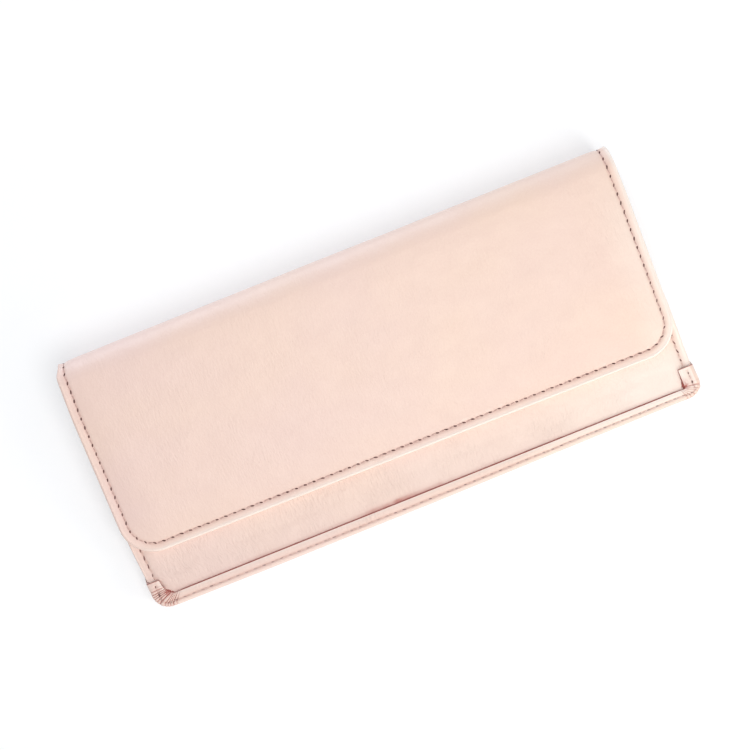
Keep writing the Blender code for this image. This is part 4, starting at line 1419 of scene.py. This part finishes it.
def make_pocket():
    """The coin pocket's two cloth walls, sewn together along the bottom and the sides."""
    reach = gusset_outer_x - gusset_cloth / 2 - sheet_gap

    def sag(x, s):
        loose = smooth(s, 6 * mm, 20 * mm) * smooth(inner_half_length - np.abs(x), 3 * mm, 18 * mm)
        return loose * (0.10 * mm * ripple(x, s, 22 * mm, 81) + 0.05 * mm * ripple(x, s, 8 * mm, 82))

    made = strip(
        "pocket_rear_cloth", rear_wall.at, fine_ends(sheet_gap / 2, pocket_length, 1.4 * mm), reach,
        (0.0, pocket_wall), cloth, sag, 150, round_foot=True
    )
    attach(made, "coin_pocket")
    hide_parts("pocket_rear_wall")

    def top(x, s):
        return half_base + (half_mouth - half_base) * (0 * x + s) / pocket_length

    def bottom(x, s):
        rear = pocket_wall + sheet_gap - top(x, s)
        inside = smooth(s, 3.0 * mm, 4.4 * mm) * smooth(inner_half_length - np.abs(x), 2.4 * mm, 3.4 * mm)
        return rear + (top(x, s) - pocket_wall - rear) * inside

    def swell(x, s):
        loose = smooth(s, 6 * mm, 20 * mm) * smooth(inner_half_length - np.abs(x), 4 * mm, 18 * mm)
        return loose * (0.12 * mm * ripple(x, s, 19 * mm, 83) + 0.05 * mm * ripple(x, s, 7 * mm, 84))

    made = strip(
        "pocket_front_cloth", pocket.at, fine_ends(sheet_gap / 2, pocket_length, 1.2 * mm), inner_half_length,
        (bottom, top), cloth, swell, 170, round_foot=True
    )
    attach(made, "coin_pocket")
    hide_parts("pocket_front_wall")


make_pocket()


def tape_material():
    """Zip tape: fine ribs across its width."""
    n = Nodes("zip_tape_looks")
    flat = n.node("ShaderNodeSeparateXYZ", {"Vector": n.attribute("flat", "Vector")})
    rib = n.maths("ABSOLUTE", n.maths("SINE", n.times(flat.outputs[0], 6.5)))
    twill = n.maths("SINE", n.plus(n.times(flat.outputs[0], 14.0), n.times(flat.outputs[1], 22.0)))
    height = n.plus(rib, n.times(twill, 0.3))
    colour = n.mix(rib, (0.58, 0.38, 0.33), (0.74, 0.53, 0.46))
    return n.finish(colour, 0.75, n.bump(height, 0.05 * mm), Specular_IOR_Level=0.25)


def coil_material():
    n = Nodes("zip_coil_looks")
    flat = n.attribute("flat", "Vector")
    colour = n.mix(n.noise(flat, 0.8), (0.74, 0.54, 0.47), (0.82, 0.62, 0.54))
    return n.finish(colour, 0.38, n.bump(n.noise(flat, 6.0), 0.01 * mm), Specular_IOR_Level=0.5)


def metal_material(name, light, dark, roughness, lines=(1.0, 1.0, 1.0)):
    """Plated metal with fine marks along one direction."""
    n = Nodes(name)
    place = n.node("ShaderNodeTexCoord").outputs["Object"]
    marks = n.noise(n.mapped(place, tuple(1000 * value for value in lines)), 1.0)
    broad = n.noise(place, 90.0)
    colour = n.mix(n.spread(broad, 0.3, 0.7), dark, light)
    rough = n.spread(marks, 0.3, 0.7, roughness - 0.03, roughness + 0.05)
    return n.finish(colour, rough, n.bump(marks, 0.002 * mm), Metallic=1.0)


tape = tape_material()
coil = coil_material()
gold = metal_material("zip_metal_looks", (0.88, 0.72, 0.53), (0.84, 0.67, 0.48), 0.24, (0.8, 7.0, 7.0))


def tube(line, radius, around=8):
    """Points, faces and lengths of a round wire along a line."""
    line = np.asarray(line, float)
    step = np.gradient(line, axis=0)
    step /= np.linalg.norm(step, axis=1)[:, None]
    guide = np.array([1.0, 0.0, 0.0]) if abs(step[0][0]) < 0.8 else np.array([0.0, 0.0, 1.0])
    points, flat = [], []
    for place, along, run in zip(line, step, walked(line)):
        side = np.cross(along, guide)
        side /= np.linalg.norm(side)
        guide = np.cross(side, along)
        for k in range(around):
            a = 2 * math.pi * k / around
            points.append(place + radius * (math.cos(a) * side + math.sin(a) * guide))
            flat.append((run / mm, a, 0.0))
    return np.array(points), tube_faces(len(line), around), np.array(flat)


def make_zip():
    """Two tapes over the pocket's mouth, and on each a wire coil whose loops mesh with the other's."""
    seam = Seam("zip_stitches")
    for name, side in (("rear", -1), ("front", 1)):
        first, last = sorted((side * 0.5 * mm, side * half_mouth))

        def place(x, w, v):
            return pocket.at(x, v, w)

        def relief(x, w):
            return 0.05 * mm * ripple(x, w, 7 * mm, 91) + 0.02 * mm

        made = strip(
            "zip_tape_" + name + "_woven", place, fine_ends(first, last, 0.2 * mm, 0.08 * mm),
            inner_half_length, (tape_floor, tape_floor + tape_thickness), tape, relief, 220, round_foot=True
        )
        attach(made, "coin_pocket")
        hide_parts("zip_tape_" + name)
        ends = (-87.0 * mm, side * tape_seam_w), (87.0 * mm, side * tape_seam_w)
        straight_seam(seam, place, *ends, tape_floor + tape_thickness, 1, dark=0.0)
        turns = int(2 * (coil_end - 0.3 * mm) / coil_pitch)
        t = np.linspace(0, turns, turns * 12 + 1)
        a = 2 * math.pi * t + (math.pi if side > 0 else 0.0)
        centre_w = side * (sheet_gap / 2 + coil_width / 2 - 0.12 * mm)
        w = centre_w + (coil_width / 2 + 0.10 * mm - coil_wire) * np.cos(a)
        v = coil_floor + coil_height / 2 + (coil_height / 2 - coil_wire) * np.sin(a) * 0.95
        x = -coil_end + 0.3 * mm + coil_pitch * t + 0.16 * mm * np.sin(2 * a)
        points, faces, flat = tube(pocket.at(x, v, w), coil_wire)
        made = new_object("zip_coil_" + name + "_loops", points, faces, coil, {"flat": flat}, None, 80)
        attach(made, "coin_pocket")
        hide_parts("zip_coil_" + name)
    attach(seam.build(), "coin_pocket")


make_zip()


def make_zip_metal():
    """The slider, its pull and the end stops, cast with rounded edges."""
    bodies = {"zip_slider": "zip_slider", "zip_pull": "zip_pull"}
    for name in ("zip_slider", "zip_pull", "zip_stop_left", "zip_stop_right"):
        cast = bmesh.new()
        cast.from_mesh(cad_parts[name].data)
        bmesh.ops.remove_doubles(cast, verts=cast.verts, dist=0.002 * mm)
        bmesh.ops.dissolve_limit(cast, angle_limit=math.radians(1.5), verts=cast.verts, edges=cast.edges)
        sharp = [e for e in cast.edges if len(e.link_faces) == 2 and e.calc_face_angle() > math.radians(35)]
        round_over = dict(offset=0.14 * mm, segments=3, profile=0.6, affect="EDGES", clamp_overlap=True)
        bmesh.ops.bevel(cast, geom=sharp, **round_over)
        mesh = bpy.data.meshes.new(name + "_cast")
        cast.to_mesh(mesh)
        cast.free()
        mesh.materials.clear()
        mesh.materials.append(gold)
        mesh.shade_smooth()
        mesh.set_sharp_from_angle(angle=math.radians(40))
        made = bpy.data.objects.new(name + "_cast", mesh)
        bpy.context.scene.collection.objects.link(made)
        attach(made, bodies.get(name, "coin_pocket"))
        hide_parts(name)


make_zip_metal()


gusset_foot_y = -31.0 * mm
gusset_flat_width = 22.0 * mm
gusset_sheet_cloth = 0.35 * mm


def make_gusset(name, side, low, high):
    """One inward fold of cloth down a side, whose edges follow two panels."""
    ends = (gusset_foot_y, pocket.at(0.0, pocket_length - 1.0 * mm, -half_mouth)[1])
    along = np.linspace(0, 1, 70)
    y = ends[0] + (ends[1] - ends[0]) * along
    across = np.linspace(0, 1, 25)
    bottom, top = low(y)[:, None], high(y)[:, None]
    u = across[None, :]
    fold = np.sin(math.pi * u) ** 0.8
    depth = (gusset_outer_x - gusset_inner_x) * smooth(y, ends[0] - 4 * mm, ends[0] + 14 * mm)[:, None]
    wave = 0.35 * mm * ripple(y[:, None], u * 9 * mm, 11 * mm, 95 + (side > 0)) * np.sin(math.pi * u)
    x = side * (gusset_outer_x - 0.1 * mm - (depth - np.abs(wave)) * fold)
    bow = np.sin(2 * math.pi * u) * 0.10 * (top - bottom)
    z = bottom + (top - bottom) * u + bow * 0.6
    points = drifted(np.stack(np.broadcast_arrays(x, y[:, None], z), -1).reshape(-1, 3))
    faces = grid_faces(len(along), len(across))
    if side > 0:
        faces = [f[::-1] for f in faces]
    step_x, step_z = np.diff(x, axis=1, prepend=x[:, :1]), np.diff(z, axis=1, prepend=z[:, :1])
    run = np.cumsum(np.hypot(step_x, step_z), axis=1)
    flat = np.stack(np.broadcast_arrays(y[:, None], run, 0 * run), -1).reshape(-1, 3) / mm
    made = new_object(name + "_cloth", points, faces, cloth, {"flat": flat}, None, 80)
    shell = made.modifiers.new("thickness", "SOLIDIFY")
    shell.thickness = gusset_sheet_cloth
    shell.offset = 0.0
    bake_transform(made)
    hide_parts(name)
    length = ends[1] - ends[0]
    flat = (gusset_flat_width, round(length, 4))


def make_gussets():
    clear = 0.12 * mm

    def floor(y):
        return lining_top + clear + 0 * y

    def under_wall(y):
        return np.maximum(rear_wall.height(y, 0.0) - clear, floor(y) + 0.25 * mm)

    def over_wall(y):
        return rear_wall.height(y, pocket_wall) + clear

    def under_front(y):
        return np.maximum(front_plane.height(y, -leather) - clear, over_wall(y) + 0.3 * mm)

    # The front gussets' rear edges lie halfway along it.
    start = rear_wall.at(0.0, 30.0 * mm, pocket_wall - 4.95 * mm)
    for name, side in (("left", -1), ("right", 1)):
        make_gusset("gusset_rear_" + name, side, floor, under_wall)
        make_gusset("gusset_front_" + name, side, over_wall, under_front)


make_gussets()


def dress_carried_parts():
    """Materials for the rigid parts that stay as they are in the CAD."""
    n = Nodes("board_looks")
    place = n.node("ShaderNodeTexCoord").outputs["Object"]
    fibre = n.noise(n.mapped(place, (900.0, 2600.0, 900.0)), 1.0, 4.0, 0.6, 0.5)
    pressed = n.finish(n.mix(fibre, (0.42, 0.36, 0.29), (0.60, 0.53, 0.44)), 0.85, n.bump(fibre, 0.05 * mm))
    steel = metal_material("plated_steel_looks", (0.72, 0.71, 0.69), (0.60, 0.59, 0.57), 0.3, (0.6, 4.0, 1.0))
    looks = {"board": pressed, "flap_magnet": steel, "front_keeper": steel}
    for name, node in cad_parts.items():
        for key, material in looks.items():
            if key in name:
                node.data.materials.clear()
                node.data.materials.append(material)


dress_carried_parts()


def make_floor():
    """White where it is seen, with the wallet's shadow on it."""
    n = Nodes("floor_looks")
    corners = [(-3.0, -3.0, 0.0), (3.0, -3.0, 0.0), (3.0, 3.0, 0.0), (-3.0, 3.0, 0.0)]
    floor = new_object("floor", corners, [(0, 1, 2, 3)], n.owner)
    floor.location.z = -0.02 * mm
    seen = n.seen()
    glow = n.times(seen, 0.43)
    colour = n.mix(seen, (0.92, 0.93, 0.95), (0.60, 0.605, 0.62))
    n.finish(colour, 0.9, None, Specular_IOR_Level=0.0, Emission_Color=(1, 1, 1, 1), Emission_Strength=glow)


make_floor()


def make_lights():
    """Soft light all round from a world that is white where it is seen, and four lamps."""
    n = Nodes("studio", bpy.data.worlds)
    bpy.context.scene.world = n.owner
    light = n.node("ShaderNodeBackground", {"Color": (0.96, 0.98, 1.0, 1.0), "Strength": 0.455}).outputs[0]
    shown = n.node("ShaderNodeBackground", {"Color": (1.0, 1.0, 1.0, 1.0)}).outputs[0]
    mix = n.node("ShaderNodeMixShader", {0: n.seen(), 1: light, 2: shown})
    n.put(n.tree.nodes["World Output"].inputs[0], mix.outputs[0])

    for name, place, size, power, colour in (
        ("key", (0.10, -0.32, 0.87), 0.60, 4.08, (1.0, 0.98, 0.945)),
        ("corner", (0.20, -0.24, 0.20), 0.12, 0.20, (1.0, 0.965, 0.89)),
        ("low", (0.10, -0.70, 0.13), 0.30, 0.8, (1.0, 0.98, 0.95)),
        ("behind", (-0.06, 0.70, 0.17), 0.50, 2.7, (0.79, 0.89, 1.0)),
    ):
        lamp = bpy.data.lights.new(name, "AREA")
        lamp.shape = "DISK"
        lamp.size = size
        lamp.energy = power
        lamp.color = colour
        made = bpy.data.objects.new(name, lamp)
        made.location = place
        made.rotation_euler = (-Vector(place)).to_track_quat("-Z", "Y").to_euler()
        bpy.context.scene.collection.objects.link(made)


make_lights()


def make_camera():
    """Almost straight above, about 0.6 m away."""
    image_side, focal_pixels = 750, 1740.8
    lens = bpy.data.cameras.new("camera")
    lens.sensor_width = 36.0
    lens.lens = focal_pixels / image_side * lens.sensor_width
    lens.clip_start, lens.clip_end = 0.01, 20.0
    camera = bpy.data.objects.new("camera", lens)
    camera.location = (-2.828 * mm, -4.369 * mm, 600.0 * mm)
    camera.rotation_euler = (math.radians(0.702), math.radians(0.039), math.radians(-21.777))
    bpy.context.scene.collection.objects.link(camera)
    bpy.context.scene.camera = camera


make_camera()
bpy.context.scene.view_settings.view_transform = "Standard"
